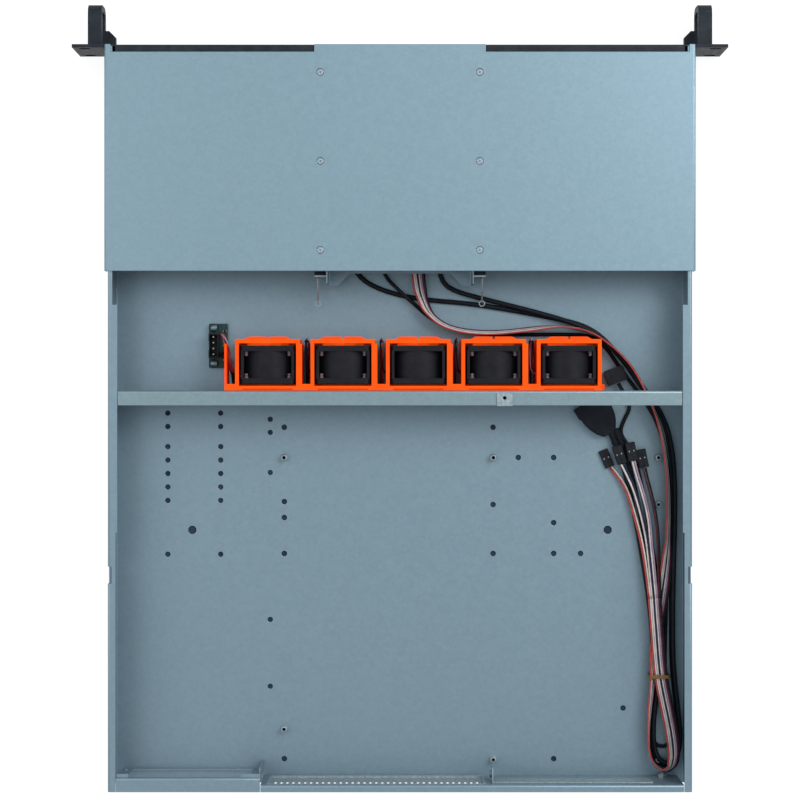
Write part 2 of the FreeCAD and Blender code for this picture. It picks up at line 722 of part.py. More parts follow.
def make_bar():
    mid = SHEET / 2
    rear = BAR_Y + BAR_FLANGE
    line = [(rear, FLOOR + mid), (BAR_Y + mid, FLOOR + mid), (BAR_Y + mid, TOP - mid), (rear, TOP - mid)]
    bar = folded(line, SHEET, -BAR_HALF, BAR_HALF, X_AXIS)
    through = (BAR_Y - 1, BAR_Y + SHEET + 1)
    cuts = [block((-PASS_INNER, -PASS_OUTER), (BAR_Y - 1, rear + 1), (FLOOR - 1, FLOOR + PASS_H))]
    for x in FAN_XS:
        cuts.append(many_sided((x, BAR_Y - 1, FAN_Z), Y_AXIS, HOLDER_AIR_R, SHEET + 2, AIR_SIDES))
        lead_x = x + HOLDER_HALF + LEAD_FROM_HOLDER
        if x == FAN_XS[0]:
            wide, zs = LEAD_SLOT_W / 2, (LEAD_SLOT_Z, LEAD_SLOT_Z + LEAD_SLOT_H)
        else:
            wide, zs = LEAD_HOLE / 2, (LEAD_HOLE_Z, LEAD_HOLE_Z + LEAD_HOLE)
        cuts.append(block((lead_x - wide, lead_x + wide), through, zs))
    tab_x = (TAB_X - TAB_W / 2, TAB_X + TAB_W / 2)
    tab = block(tab_x, (BAR_Y + SHEET + BEND_R, rear + TAB_OVERHANG), (TOP - SHEET, TOP + TAB_T))
    cuts.append(many_sided((TAB_X, BAR_Y + BAR_FLANGE / 2, TOP - 2 * SHEET), Z_AXIS, TAB_HOLE_R, 4 * SHEET))
    return joined([bar, tab]).cut(cuts)


def make_holder(x):
    inner = HOLDER_HALF - HOLDER_SIDE_WALL
    box = block((x - HOLDER_HALF, x + HOLDER_HALF), (HOLDER_FRONT, HOLDER_REAR), (FLOOR, HOLDER_TOP))
    boss = prism(
        [(x - HOLDER_BOSS_W / 2, HOLDER_FRONT), (x - HOLDER_BOSS_TOP_W / 2, HOLDER_FRONT - HOLDER_BOSS_T),
         (x + HOLDER_BOSS_TOP_W / 2, HOLDER_FRONT - HOLDER_BOSS_T), (x + HOLDER_BOSS_W / 2, HOLDER_FRONT)],
        FLOOR + HOLDER_BOSS_LOW, HOLDER_TOP - HOLDER_BOSS_TOP_GAP)
    arm_end = x - HOLDER_HALF + FAN_PITCH
    rear_wall = (HOLDER_REAR - HOLDER_REAR_WALL, HOLDER_REAR)
    bridge = block((x + HOLDER_HALF, arm_end), rear_wall, (BRIDGE_Z, HOLDER_TOP))
    end_wall = block(
        (arm_end - ARM_END_WALL, arm_end), (HOLDER_REAR - ARM_REACH, HOLDER_REAR), (ARM_WALL_Z, HOLDER_TOP))
    stub_y = (HOLDER_REAR - HOLDER_REAR_WALL, HOLDER_REAR - STUB_STEP)
    stub = block((x - HOLDER_HALF - STUB_L, x - HOLDER_HALF), stub_y, (STUB_Z, STUB_Z + STUB_H))
    shape = joined([box, boss, bridge, end_wall, stub])
    pocket = block(
        (x - inner, x + inner),
        (FAN_FRONT - HOLDER_END_CLEARANCE, FAN_REAR + HOLDER_END_CLEARANCE), (FAN_BOTTOM, HOLDER_TOP + 1))
    air_start = HOLDER_FRONT - HOLDER_BOSS_T - 1
    air = many_sided((x, air_start, FAN_Z), Y_AXIS, HOLDER_AIR_R, HOLDER_REAR + 1 - air_start, AIR_SIDES)
    window_y = FAN_REAR - FAN_FLANGE - LEAD_WINDOW_W - 1
    window = block(
        (x + inner - 1, x + HOLDER_HALF + 1), (window_y, window_y + LEAD_WINDOW_W),
        (LEAD_WINDOW_Z, LEAD_WINDOW_Z + LEAD_WINDOW_H))
    return shape.cut([pocket, air, window])


def make_fan_frame(x):
    half = FAN_SIZE / 2
    flanges = []
    for y in (FAN_FRONT, FAN_REAR - FAN_FLANGE):
        flanges.append(block((x - half, x + half), (y, y + FAN_FLANGE), (FAN_Z - half, FAN_Z + half)))
    barrel = many_sided((x, FAN_FRONT, FAN_Z), Y_AXIS, half, FAN_DEPTH, BARREL_SIDES)
    frame = joined(flanges + [barrel])
    frame = frame.cut(many_sided((x, FAN_FRONT - 1, FAN_Z), Y_AXIS, FAN_BORE_R, FAN_DEPTH + 2, BORE_SIDES))
    floor_y = FAN_REAR - FAN_HUB_FLOOR
    spider = [many_sided((x, floor_y, FAN_Z), Y_AXIS, FAN_HUB_R, FAN_HUB_FLOOR, HUB_SIDES)]
    reach, strut = FAN_BORE_R + STRUT_SINK, STRUT_W / 2
    for wide, high in ((reach, strut), (strut, reach)):
        spider.append(block((x - wide, x + wide), (floor_y, FAN_REAR), (FAN_Z - high, FAN_Z + high)))
    bearing = rod((x, floor_y - 1, FAN_Z), Y_AXIS, SHAFT_R + SHAFT_CLEARANCE, FAN_HUB_FLOOR + 2)
    return joined([frame] + spider).cut(bearing)


def make_rotor(x):
    """The hub on its shaft, with blades whose section is a strip bent to three flats."""
    rear = FAN_REAR - FAN_HUB_FLOOR - ROTOR_GAP
    front = rear - ROTOR_L
    hub = many_sided((x, front, FAN_Z), Y_AXIS, FAN_HUB_R, ROTOR_L, HUB_SIDES)
    shaft = rod((x, rear - 0.1, FAN_Z), Y_AXIS, SHAFT_R, ROTOR_GAP + FAN_HUB_FLOOR - 0.4)
    half_s, half_a = BLADE_CHORD_TANGENT / 2, BLADE_CHORD_AXIAL / 2
    tip = math.sqrt((FAN_BORE_R - TIP_CLEARANCE) ** 2 - (half_s + BLADE_T) ** 2)
    root = FAN_HUB_R - BLADE_ROOT_SINK
    middle = (front + rear) / 2
    chord = math.hypot(half_s, half_a)
    normal = (half_a / chord, -half_s / chord)
    strip = []
    for along, bow in ((-1, 0), (-0.4, 1), (0.4, 1), (1, 0)):
        lift = bow * BLADE_CAMBER
        strip.append((x + along * half_s + normal[0] * lift, middle + along * half_a + normal[1] * lift))
    back = [(s + normal[0] * BLADE_T, a + normal[1] * BLADE_T) for s, a in reversed(strip)]
    blade = prism(strip + back, FAN_Z + root, FAN_Z + tip)
    parts = [hub, shaft]
    for n in range(BLADES):
        turned_blade = blade.copy()
        turned_blade.rotate(vec(x, 0, FAN_Z), Y_AXIS, 360.0 * n / BLADES)
        parts.append(turned_blade)
    return joined(parts)


def make_fan_rivets():
    """Push rivets of the four outer fans, seen between each frame's two flanges."""
    rivets = []
    half = FAN_RIVET_SPACING / 2
    for n, x in enumerate(FAN_XS):
        if n == FAN_COUNT // 2:
            continue
        for side in (-1, 1):
            for y in (FAN_FRONT + FAN_FLANGE, FAN_REAR - FAN_FLANGE - FAN_RIVET_L):
                centre = (x + side * half, y, FAN_Z + half)
                rivets.append(many_sided(centre, Y_AXIS, FAN_RIVET_R, FAN_RIVET_L, 6))
    return Part.makeCompound(rivets)


def hub_screw_places():
    x = HUB_BOARD_X + HUB_BOARD_W - HUB_HEADER_W / 2
    front = BAR_Y - HUB_BOARD_TO_BAR
    return [(x, front + HUB_SCREW_INSET), (x, front + HUB_BOARD_L - HUB_SCREW_INSET)]


def make_hub_board():
    front = BAR_Y - HUB_BOARD_TO_BAR
    low = FLOOR + HUB_SPACER
    board = block(
        (HUB_BOARD_X, HUB_BOARD_X + HUB_BOARD_W), (front, front + HUB_BOARD_L), (low, low + HUB_BOARD_T))
    feet = [many_sided((x, y, FLOOR), Z_AXIS, SMALL_SCREW_R, HUB_SPACER) for x, y in hub_screw_places()]
    return joined([board] + feet)


def make_hub_header():
    low = FLOOR + HUB_SPACER + HUB_BOARD_T
    high = low + HUB_HEADER_H
    right = HUB_BOARD_X + HUB_BOARD_W - HUB_HEADER_EDGE
    left, wall, pin = right - HUB_HEADER_W, HUB_HEADER_WALL, HUB_PIN / 2
    start = BAR_Y - HUB_BOARD_TO_BAR + HUB_HEADER_FROM_FRONT
    end = start + HUB_HEADER_PINS * HUB_HEADER_PITCH - 2 * HUB_HEADER_END
    body = block((left, right), (start, end), (low, high))
    well = block((left + wall, right - wall), (start + wall, end - wall), (low + HUB_HEADER_FLOOR, high + 1))
    pins = []
    x = (left + right) / 2
    for n in range(HUB_HEADER_PINS):
        y = (start + end) / 2 + (n - (HUB_HEADER_PINS - 1) / 2) * HUB_PIN_PITCH
        pins.append(block((x - pin, x + pin), (y - pin, y + pin), (low + 1, high - 1)))
    return joined([body.cut(well)] + pins)


def standoff_places():
    return [(ATX_X - x, ATX_Y - y) for x, y in STANDOFF_GRID]


def make_standoffs():
    posts = []
    bore_z = FLOOR + STANDOFF_H - STANDOFF_BORE_DEPTH
    for x, y in standoff_places():
        post = many_sided((x, y, FLOOR), Z_AXIS, STANDOFF_R, STANDOFF_H, 6)
        bore = rod((x, y, bore_z), Z_AXIS, STANDOFF_BORE_R, STANDOFF_BORE_DEPTH + 1)
        posts.append(post.cut(bore))
    return Part.makeCompound(posts)


def channel(x_low, x_high, wall, rear):
    """A wall across the rear of the case whose top and bottom edges are folded back to the rear."""
    mid = SHEET / 2
    line = [(rear, FLOOR + mid), (wall + mid, FLOOR + mid), (wall + mid, TOP - mid), (rear, TOP - mid)]
    return folded(line, SHEET, x_low, x_high, X_AXIS)


def make_rear_panel():
    left = PSU_WALL_RIGHT - SEAM
    right = -(SIDE - LIP + REAR_LIP_STEP - SEAM)
    panel = channel(right, left, REAR_WALL, REAR)
    through = (REAR_WALL - 1, REAR_WALL + SHEET + 1)
    cuts = [block((IO_RIGHT - IO_WIDTH, IO_RIGHT), through, (IO_Z, TOP - IO_TOP_GAP))]
    card_z = (CARD_SLOT_Z, CARD_SLOT_Z + CARD_SLOT_H)
    cuts.append(block((CARD_SLOT_RIGHT - CARD_SLOT_W, CARD_SLOT_RIGHT), through, card_z))
    for n in range(VENT_COUNT):
        x = LOW_VENT_RIGHT - n * VENT_PITCH
        cuts.append(block((x - VENT_W, x), through, (LOW_VENT_Z, LOW_VENT_Z + VENT_ROW_H)))
    cuts.append(many_sided((STUD_X, REAR_WALL - 1, STUD_Z), Y_AXIS, STUD_R, SHEET + 2))
    return panel.cut(cuts)


def make_psu_bracket():
    left, right = PSU_SIDE, PSU_WALL_RIGHT
    frame = channel(right, left, PSU_WALL, REAR)
    middle = (left + right) / 2
    through = (PSU_WALL - 1, PSU_WALL + SHEET + 1)
    opening_z = (PSU_OPENING_Z, PSU_OPENING_Z + PSU_OPENING_H)
    cuts = [block((middle - PSU_OPENING_W / 2, middle + PSU_OPENING_W / 2), through, opening_z)]
    for side in (-1, 1):
        x = middle + side * (PSU_OPENING_W / 2 + (left - right - PSU_OPENING_W) / 4)
        for z in (PSU_OPENING_Z + PSU_SCREW_LOW, PSU_OPENING_Z + PSU_OPENING_H - PSU_SCREW_TOP_GAP):
            cuts.append(rod((x, PSU_WALL - 1, z), Y_AXIS, PSU_SCREW_HOLE_R, SHEET + 2))
    frame = frame.cut(cuts)
    tabs_z = (TOP - 2 * SHEET - BEND_R, TOP - SHEET - BEND_R)
    tabs = [
        block((left - PSU_TAB_OUTER_W, left), (PSU_WALL - PSU_TAB_L, PSU_WALL + SHEET), tabs_z),
        block((right, right + PSU_TAB_INNER_W), (PSU_WALL - PSU_TAB_L, PSU_WALL + SHEET), tabs_z),
        block(
            (right, right + SHEET), (PSU_WALL - PSU_SIDE_FLANGE, PSU_WALL + SHEET),
            (FLOOR, TOP - PSU_FLANGE_TOP_GAP)),
    ]
    return joined([frame] + tabs)


def make_io_shield():
    high = TOP - IO_TOP_GAP
    rim = SHIELD_RIM / 2
    plate_y = (REAR_WALL - SHIELD_SHEET, REAR_WALL)
    low_z = IO_Z - rim
    plate = block((IO_RIGHT - IO_WIDTH - rim, IO_RIGHT + rim), plate_y, (low_z, high + rim / 2))
    tray_x, tray_z = (IO_RIGHT - IO_WIDTH + SEAM, IO_RIGHT - SEAM), (IO_Z + SEAM, high - SEAM)
    tray = block(tray_x, (REAR_WALL, REAR_WALL + SHIELD_DEPTH), tray_z)
    hollow = block(
        (tray_x[0] + SHIELD_SHEET, tray_x[1] - SHIELD_SHEET),
        (REAR_WALL - 1, REAR_WALL + SHIELD_DEPTH - SHIELD_SHEET),
        (tray_z[0] + SHIELD_SHEET, tray_z[1] - SHIELD_SHEET))
    shield = joined([plate, tray]).cut(hollow)
    count = int((IO_WIDTH - SHIELD_MARGIN) / SHIELD_SLOT_PITCH)
    cuts = []
    for n in range(count):
        x = IO_RIGHT - IO_WIDTH / 2 + (n - (count - 1) / 2) * SHIELD_SLOT_PITCH
        cuts.append(block(
            (x - SHIELD_SLOT_W / 2, x + SHIELD_SLOT_W / 2), (REAR_WALL - 1, REAR_WALL + 2 * SHIELD_DEPTH),
            (SHIELD_SLOT_Z, SHIELD_SLOT_Z + SHIELD_SLOT_H)))
    return shield.cut(cuts)


def card_middle():
    return CARD_SLOT_Z + CARD_SLOT_H / 2


def make_slot_cover():
    """The blank over the expansion slot, lying on its side, with a tab that is screwed down."""
    middle = card_middle()
    right_end = CARD_SLOT_RIGHT + CARD_COVER_LAP
    zs = (middle - CARD_COVER_H / 2, middle + CARD_COVER_H / 2)
    plate_y = (REAR_WALL - CARD_COVER_SHEET, REAR_WALL)
    plate = block((right_end - CARD_COVER_L, right_end), plate_y, zs)
    tab = block((right_end - CARD_COVER_SHEET, right_end), (REAR_WALL - CARD_COVER_TAB, REAR_WALL), zs)
    cuts = []
    through = (REAR_WALL - CARD_COVER_SHEET - 1, REAR_WALL + 1)
    for n in range(VENT_COUNT):
        x = LOW_VENT_RIGHT - (n + 0.5) * VENT_PITCH
        cuts.append(block((x - VENT_W, x), through, (middle - VENT_ROW_H / 2, middle + VENT_ROW_H / 2)))
    return joined([plate, tab]).cut(cuts)


def make_screws():
    """Pan heads on the fan hub board and on the slot cover's tab."""
    screws = []
    low = FLOOR + HUB_SPACER + HUB_BOARD_T
    for x, y in hub_screw_places():
        screws.append(many_sided((x, y, low), Z_AXIS, HUB_SCREW_R, SMALL_SCREW_H))
    tab_end = CARD_SLOT_RIGHT + CARD_COVER_LAP
    spot = vec(tab_end, REAR_WALL - CARD_COVER_TAB / 2, card_middle())
    screws.append(Part.makeCylinder(SMALL_SCREW_R, SMALL_SCREW_H, spot, X_AXIS))
    return Part.makeCompound(screws)


def make_stud():
    """The earth stud through the rear wall, with its nut inside the case."""
    length = NUT_T + 1 + REAR_INSET + STUD_OUT
    stud = many_sided((STUD_X, REAR_WALL - NUT_T - 1, STUD_Z), Y_AXIS, STUD_R, length)
    nut = many_sided((STUD_X, REAR_WALL - NUT_T, STUD_Z), Y_AXIS, NUT_R, NUT_T, 6)
    return joined([stud, nut])


def make_button(x, size, proud):
    """A square cap with a collar behind the panel that keeps it from falling out."""
    panel_back = FRONT + PANEL_SHEET
    half, wide = size / 2, size / 2 + BUTTON_COLLAR
    collar_y = panel_back + BUTTON_END_GAP
    pin = block((x - half, x + half), (FRONT - proud, FRONT + BUTTON_L), (BUTTON_Z - half, BUTTON_Z + half))
    collar = block(
        (x - wide, x + wide), (collar_y, collar_y + BUTTON_COLLAR_T), (BUTTON_Z - wide, BUTTON_Z + wide))
    return joined([pin, collar])


def make_io_board():
    """The small board behind the front panel: switches and pin headers, on two spacer feet."""
    front = FRONT + PANEL_SHEET + IO_BOARD_FRONT_GAP
    rear = FRONT + IO_BOARD_REAR
    top = IO_BOARD_Z + IO_BOARD_T
    pieces = [block((IO_BOARD_RIGHT, IO_BOARD_LEFT), (front, rear), (IO_BOARD_Z, top))]
    foot_low = FLOOR + PANEL_SHEET
    foot_y = FRONT + PANEL_SHEET + PANEL_FLANGE / 2
    for x in (IO_BOARD_RIGHT + IO_BOARD_FOOT_INSET, IO_BOARD_LEFT - IO_BOARD_FOOT_INSET):
        pieces.append(many_sided((x, foot_y, foot_low), Z_AXIS, SMALL_SCREW_R, IO_BOARD_Z - foot_low))
    switch_y = FRONT + BUTTON_L + BUTTON_TRAVEL + BUTTON_END_GAP
    for x in (POWER_X, RESET_X):
        beside = (x - SWITCH_W / 2, x + SWITCH_W / 2)
        pieces.append(block(beside, (switch_y, switch_y + SWITCH_L), (top, BUTTON_Z + SWITCH_ABOVE)))
    for x in PIN_HEADER_X:
        beside = (x - PIN_HEADER_W / 2, x + PIN_HEADER_W / 2)
        pieces.append(block(beside, (rear - PIN_HEADER_L, rear), (top, top + PIN_HEADER_H)))
    return joined(pieces)


def make_ports():
    ports = []
    low = IO_BOARD_Z + IO_BOARD_T
    front = FRONT + PORT_RECESS
    for x in PORT_X:
        half = PORT_W / 2
        inner, tongue_half = half - PORT_WALL, half - PORT_TONGUE_INSET
        shell = block((x - half, x + half), (front, front + PORT_L), (low, low + PORT_H))
        mouth = block(
            (x - inner, x + inner), (front - 1, front + PORT_L - 4 * PORT_WALL),
            (low + PORT_WALL, low + PORT_H - PORT_WALL))
        tongue = block(
            (x - tongue_half, x + tongue_half), (front + PORT_WALL, front + PORT_L - PORT_WALL),
            (low + PORT_H / 2, low + PORT_H / 2 + PORT_TONGUE_T))
        ports.append(joined([shell.cut(mouth), tongue]))
    return Part.makeCompound(ports)


def turned(shape, place, angle):
    """A shape made along +Y at the origin, turned about Z and moved to its place."""
    shape.rotate(vec(0, 0, 0), Z_AXIS, angle)
    shape.translate(vec(*place))
    return shape


def make_hood():
    """The moulded twenty-pin plug: a square head and a body that narrows to the cables."""
    half, end_half = HOOD_MOUTH_W / 2, HOOD_END_W / 2
    shoulder = half - HOOD_SHOULDER
    hollow = shoulder - HOOD_HOLLOW
    body_t = HOOD_T - SHEET
    head = block((-half, half), (0, HOOD_HEAD_L), (-HOOD_T / 2, HOOD_T / 2))
    start, waist, end = [
        [vec(side * reach, y, 0) for side in (-1, 1)]
        for reach, y in ((shoulder, HOOD_HEAD_L), (hollow, HOOD_HOLLOW_AT), (end_half, HOOD_L))
    ]
    outline = [
        Part.LineSegment(start[0], start[1]).toShape(),
        Part.Arc(start[1], waist[1], end[1]).toShape(),
        Part.LineSegment(end[1], end[0]).toShape(),
        Part.Arc(end[0], waist[0], start[0]).toShape(),
    ]
    body = Part.Face(Part.Wire(outline)).extrude(vec(0, 0, body_t))
    body.translate(vec(0, 0, -body_t / 2))
    mouth_x, mouth_z = half - HOOD_WALL, HOOD_T / 2 - HOOD_WALL
    mouth = block((-mouth_x, mouth_x), (-1, HOOD_MOUTH_DEPTH), (-mouth_z, mouth_z))
    return turned(joined([head, body]).cut(mouth), fitted([HOOD_PLACE])[0], HOOD_TURN)


def make_plug(size, place, angle):
    width, length, thick = size
    body = block((-width / 2, width / 2), (-length / 2, length / 2), (-thick / 2, thick / 2))
    key = block((-width / 4, width / 4), (-length / 2, 0), (thick / 2, thick / 2 + PLUG_KEY_H))
    return turned(joined([body, key]), place, angle)


def make_panel_plug(route, angle):
    """A panel lead's plug, straight on from the end of its route."""
    end, back = vec(*route[-1]), PANEL_PLUG[1] / 2 + PLUG_GAP
    turn = math.radians(angle)
    return make_plug(PANEL_PLUG, (end.x + back * math.sin(turn), end.y - back * math.cos(turn), end.z), angle)


def make_tie():
    """A flat strap round the bundle of cables."""
    y = fitted([(0, TIE_Y, 0)])[0][1]
    shells = []
    for inset, start, end in ((0, y, y + TIE_W), (TIE_T, y - 1, y + TIE_W + 1)):
        shell = block(
            (TIE_RIGHT + inset, TIE_LEFT - inset), (start, end), (TIE_LOW + inset, TIE_HIGH - inset))
        along = [e for e in shell.Edges if abs(e.tangentAt(e.FirstParameter).y) > 0.9]
        shells.append(shell.makeChamfer(TIE_CORNER - inset / 2, along))
    return shells[0].cut(shells[1])


def fitted(route):
    """A route drawn for DRAWN_DEPTH, stretched along the case to its own depth."""
    return [(x, y * DEPTH / DRAWN_DEPTH, z) for x, y, z in route]


# Routes of the free cables, from the front board to their plugs.
USB_CABLE_A = [
    (34.5, -255, 13.8), (34.4, -238, 12.4), (34, -216, 6.2), (34.7, -183, 3.1), (37.3, -146, 3.1),
    (36.6, -116, 3.1), (27.9, -102.5, 3.1), (6, -93.3, 3.1), (-20, -88.6, 3.1), (-50, -86.4, 3.1),
    (-84, -81.2, 3.1), (-114, -75.4, 3.1), (-138, -70.4, 3.1), (-153, -66, 3.1), (-166.2, -52.4, 3.1),
    (-176.8, -32, 3.1), (-188.4, -11.8, 3.1), (-199.2, 9.6, 3.1), (-206.6, 37, 3.1), (-209.2, 72, 3.1),
    (-208.2, 110, 3.1), (-207.7, 150, 3.1), (-208.8, 186, 3.1), (-210.8, 216, 3.1), (-211.2, 247.5, 3.1),
    (-208, 260.6, 3.1),
    (-199.4, 265.7, 3.1), (-189.6, 262, 3.1), (-185.8, 250, 3.1), (-185.6, 231, 3.1), (-188.2, 210, 3.7),
    (-190.6, 191.6, 3.9), (-190.4, 165, 3.3), (-187, 133, 3.1), (-181.4, 98, 3.1), (-175, 64, 3.1),
    (-169.8, 42, 3.2), (-164.8, 27, 4.3), (-160.9, 16.2, 6.2),
]
USB_CABLE_B = [
    (-31.5, -255, 13.8), (-31.4, -238, 12.4), (-31, -216, 6.2), (-30, -184, 3.1), (-28.6, -148, 3.1),
    (-28.4, -116, 3.1), (-32, -101, 3.2), (-43, -94.6, 4.2), (-66, -88.6, 5.9), (-98, -80.6, 6.9),
    (-124, -72, 6.9), (-146, -64.4, 6.9), (-163.4, -48.4, 6.9), (-178.8, -29, 6.9), (-191.6, -10.6, 6.9),
    (-202.4, 12.6, 6.9), (-209, 40, 6.9), (-211, 72, 6.9), (-210, 110, 6.9), (-209.5, 150, 6.9),
    (-210.4, 186, 6.9), (-211.2, 222, 6.9), (-211, 245.4, 7.6), (-208, 257.8, 8.7), (-200.4, 263.6, 9),
    (-191.4, 261.4, 9), (-186.8, 250, 8.3), (-186.6, 231, 7.3), (-189, 208.6, 7.5), (-192.8, 191, 7.7),
    (-193.8, 167, 6.6), (-191.4, 136, 4), (-187.2, 104, 3.1), (-180.8, 70, 3.1), (-174.9, 43.4, 3.3),
    (-169.6, 26.4, 4.6), (-164.6, 14, 6.2),
]
AUDIO_CABLE = [
    (12.5, -255, 13.8), (12.4, -238, 12), (12.6, -216, 5.6), (13.6, -184, 2.9), (15.6, -150, 2.9),
    (15.6, -119, 2.9), (10.4, -105.2, 4.2), (3.4, -98.4, 7.1), (-4.4, -91, 7.1), (-12.6, -84, 4.4),
    (-22, -75.2, 2.9), (-40, -66.4, 2.9), (-64, -62.6, 2.9), (-92, -62.6, 2.9), (-124, -63, 2.9),
    (-146.4, -63.6, 2.9), (-158.2, -51.4, 2.9), (-169.2, -30.4, 2.9), (-181.6, -12, 2.9), (-193, 7.6, 2.9),
    (-202, 34, 2.9), (-204.2, 72, 2.9), (-203.4, 110, 2.9), (-203.2, 148, 2.9), (-204.6, 184, 2.9),
    (-205.6, 213, 2.9), (-206.2, 234.5, 2.9), (-204.4, 243.6, 2.9), (-198.6, 248.4, 2.9), (-192, 246, 2.9),
    (-189.4, 238, 2.9), (-191, 222, 3.2), (-194.8, 202, 3.8), (-196.6, 183, 3.8), (-196.3, 156, 3.1),
    (-193.9, 122, 2.9), (-188.4, 86, 2.9), (-182.2, 50, 2.9), (-178.2, 22, 2.9), (-175.9, 4, 2.9),
    (-172.4, -9, 3.4), (-168.8, -18.2, 5.4), (-164.2, -25.6, 8),
]
PANEL_RIBBON = [
    (-10.5, -255, 13.8), (-10.6, -238, 12.4), (-11.2, -216, 7), (-12.4, -184, 4.4), (-13, -150, 4.2),
    (-13.2, -119, 5), (-14, -103.4, 8), (-16.4, -90, 9.4), (-22, -77.6, 8.8), (-33.4, -68.6, 7.8),
    (-50, -64.2, 7.6), (-71, -63.4, 8.2), (-94, -65.6, 10.4), (-120, -67.4, 11.6), (-143, -66, 11.6),
    (-159.6, -54.2, 11.6), (-173, -37.4, 11.6), (-184.4, -18.6, 11.6), (-194.4, 3.6, 11.4), (-201.2, 31, 10),
    (-203.8, 64, 7.6), (-202.2, 101, 7.4), (-199.4, 142, 8.2), (-197.2, 180, 11.9), (-199.6, 210, 11.9),
    (-203.6, 235, 12), (-205, 251, 12.4), (-203.4, 260, 13.4), (-198.2, 264.4, 14), (-192, 263.6, 13.8),
    (-187.8, 257, 12.8), (-186.2, 243, 12), (-186.6, 222, 12), (-189.4, 203, 11.9), (-191.4, 181, 11.9),
    (-190.9, 156, 11), (-189.6, 138.6, 10.4),
]
# Each pair of panel leads: its route from the end of the ribbon to its plug, and the plug's turn about Z.
PANEL_LEADS = [
    ([(-188.2, 138, 8.9), (-184.2, 114.3, 8.2), (-178.7, 91.9, 7.4), (-172.4, 70.1, 6.5), (-164.9, 52.1, 5),
      (-158.4, 37.4, 2.6)], 23),
    ([(-188.2, 138, 11.9), (-185.0, 114.3, 11.0), (-182.0, 91.8, 10.4), (-177.2, 69.2, 10.4),
      (-171.5, 49.7, 10.5), (-166.7, 34.6, 10.6)], 18),
    ([(-191.1, 138, 11.9), (-189.6, 115.0, 11.0), (-187.5, 92.5, 10.4), (-183.6, 70.0, 10.4),
      (-178.9, 49.7, 10.5), (-175.2, 32.4, 10.6)], 12),
    ([(-191.1, 138, 8.9), (-193.4, 115.8, 8.6), (-193.9, 95.6, 8.3), (-192.4, 75.3, 8.1), (-188.6, 55.8, 8.0),
      (-185.2, 41.0, 8.0)], 12),
]
# The first fan's lead drops to the hub board. The others, given from the fan's own X, leave through the
# holder's window, loop in the gap between two holders and pass a hole in the bar to the harness behind it.
FIRST_FAN_LEAD = [
    (117.9, -32.9, 26), (123.6, -33.4, 26.8), (124.6, -42.6, 30.6), (125, -52.4, 30.4), (128.4, -60.6, 25),
    (132.4, -62.6, 16.4), (133.4, -63, 7.4),
]
FAN_LEAD = [
    (20.4, -32.9, 26), (26.8, -33.4, 26.8), (27.2, -43, 32.6), (27.2, -56.4, 31.4), (27.2, -57.4, 17.4),
    (27.1, -45, 13.4), (27.2, -27, 14.8), (27.2, -16.8, 16.6),
]
FAN_HARNESS = [
    (-100, -14.8, 17), (-50, -13.6, 17), (0, -14.8, 17), (50, -13.6, 17), (96, -14.8, 17),
    (115.6, -13.9, 15.8), (123.2, -18, 14.2), (124.3, -26.5, 11.6), (125.6, -35, 9.2), (129.6, -43, 7.4),
    (134.4, -49, 6.8),
]


def main():
    save("chassis_base", make_base())
    save("front_cover", make_cover())
    save("cover_screws", make_cover_screws())
    save("front_panel", make_front_panel())
    handle = make_handle()
    save("handle_left", handle)
    save("handle_right", mirrored(handle))
    save("drive_cage", make_cage())
    save("cage_bumpers", make_bumpers())
    save("cage_clips", make_clips())
    save("fan_bar", make_bar())
    for number, x in enumerate(FAN_XS, 1):
        save(f"fan_holder_{number}", make_holder(x))
        save(f"fan_frame_{number}", make_fan_frame(x))
        save(f"fan_rotor_{number}", make_rotor(x))
    save("fan_rivets", make_fan_rivets())
    save("fan_hub_board", make_hub_board())
    save("hub_header", make_hub_header())
    save("small_screws", make_screws())
    save("board_standoffs", make_standoffs())
    save("rear_panel", make_rear_panel())
    save("psu_bracket", make_psu_bracket())
    save("io_shield", make_io_shield())
    save("slot_cover", make_slot_cover())
    save("ground_stud", make_stud())
    save("power_button", make_button(POWER_X, POWER_SIZE, POWER_PROUD))
    save("reset_button", make_button(RESET_X, RESET_SIZE, 0))
    save("front_io_board", make_io_board())
    save("front_usb_ports", make_ports())
    save("usb3_plug", make_hood())
    save("audio_plug", make_plug(FLAT_PLUG, fitted([FLAT_PLUG_PLACE])[0], FLAT_PLUG_TURN))
    save("cable_tie", make_tie())
    lay("usb_cable_a", USB_CABLE_A, USB_D)
    lay("usb_cable_b", USB_CABLE_B, USB_D)
    lay("audio_cable", AUDIO_CABLE, AUDIO_D)
    lay("panel_ribbon", PANEL_RIBBON, RIBBON_D)
    for number, (route, angle) in enumerate(PANEL_LEADS, 1):
        lay(f"panel_lead_{number}", route, PAIR_D)
        save(f"panel_plug_{number}", make_panel_plug(fitted(route), angle))
    lay("fan_harness", FAN_HARNESS, HARNESS_D)
    routes = [FIRST_FAN_LEAD] + [[(x + across, y, z) for across, y, z in FAN_LEAD] for x in FAN_XS[1:]]
    save("fan_leads", Part.makeCompound([cord(fitted(route), FAN_LEAD_D, "fan_leads") for route in routes]))


main()
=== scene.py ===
import math

import bmesh
import bpy
from mathutils import Matrix, Vector


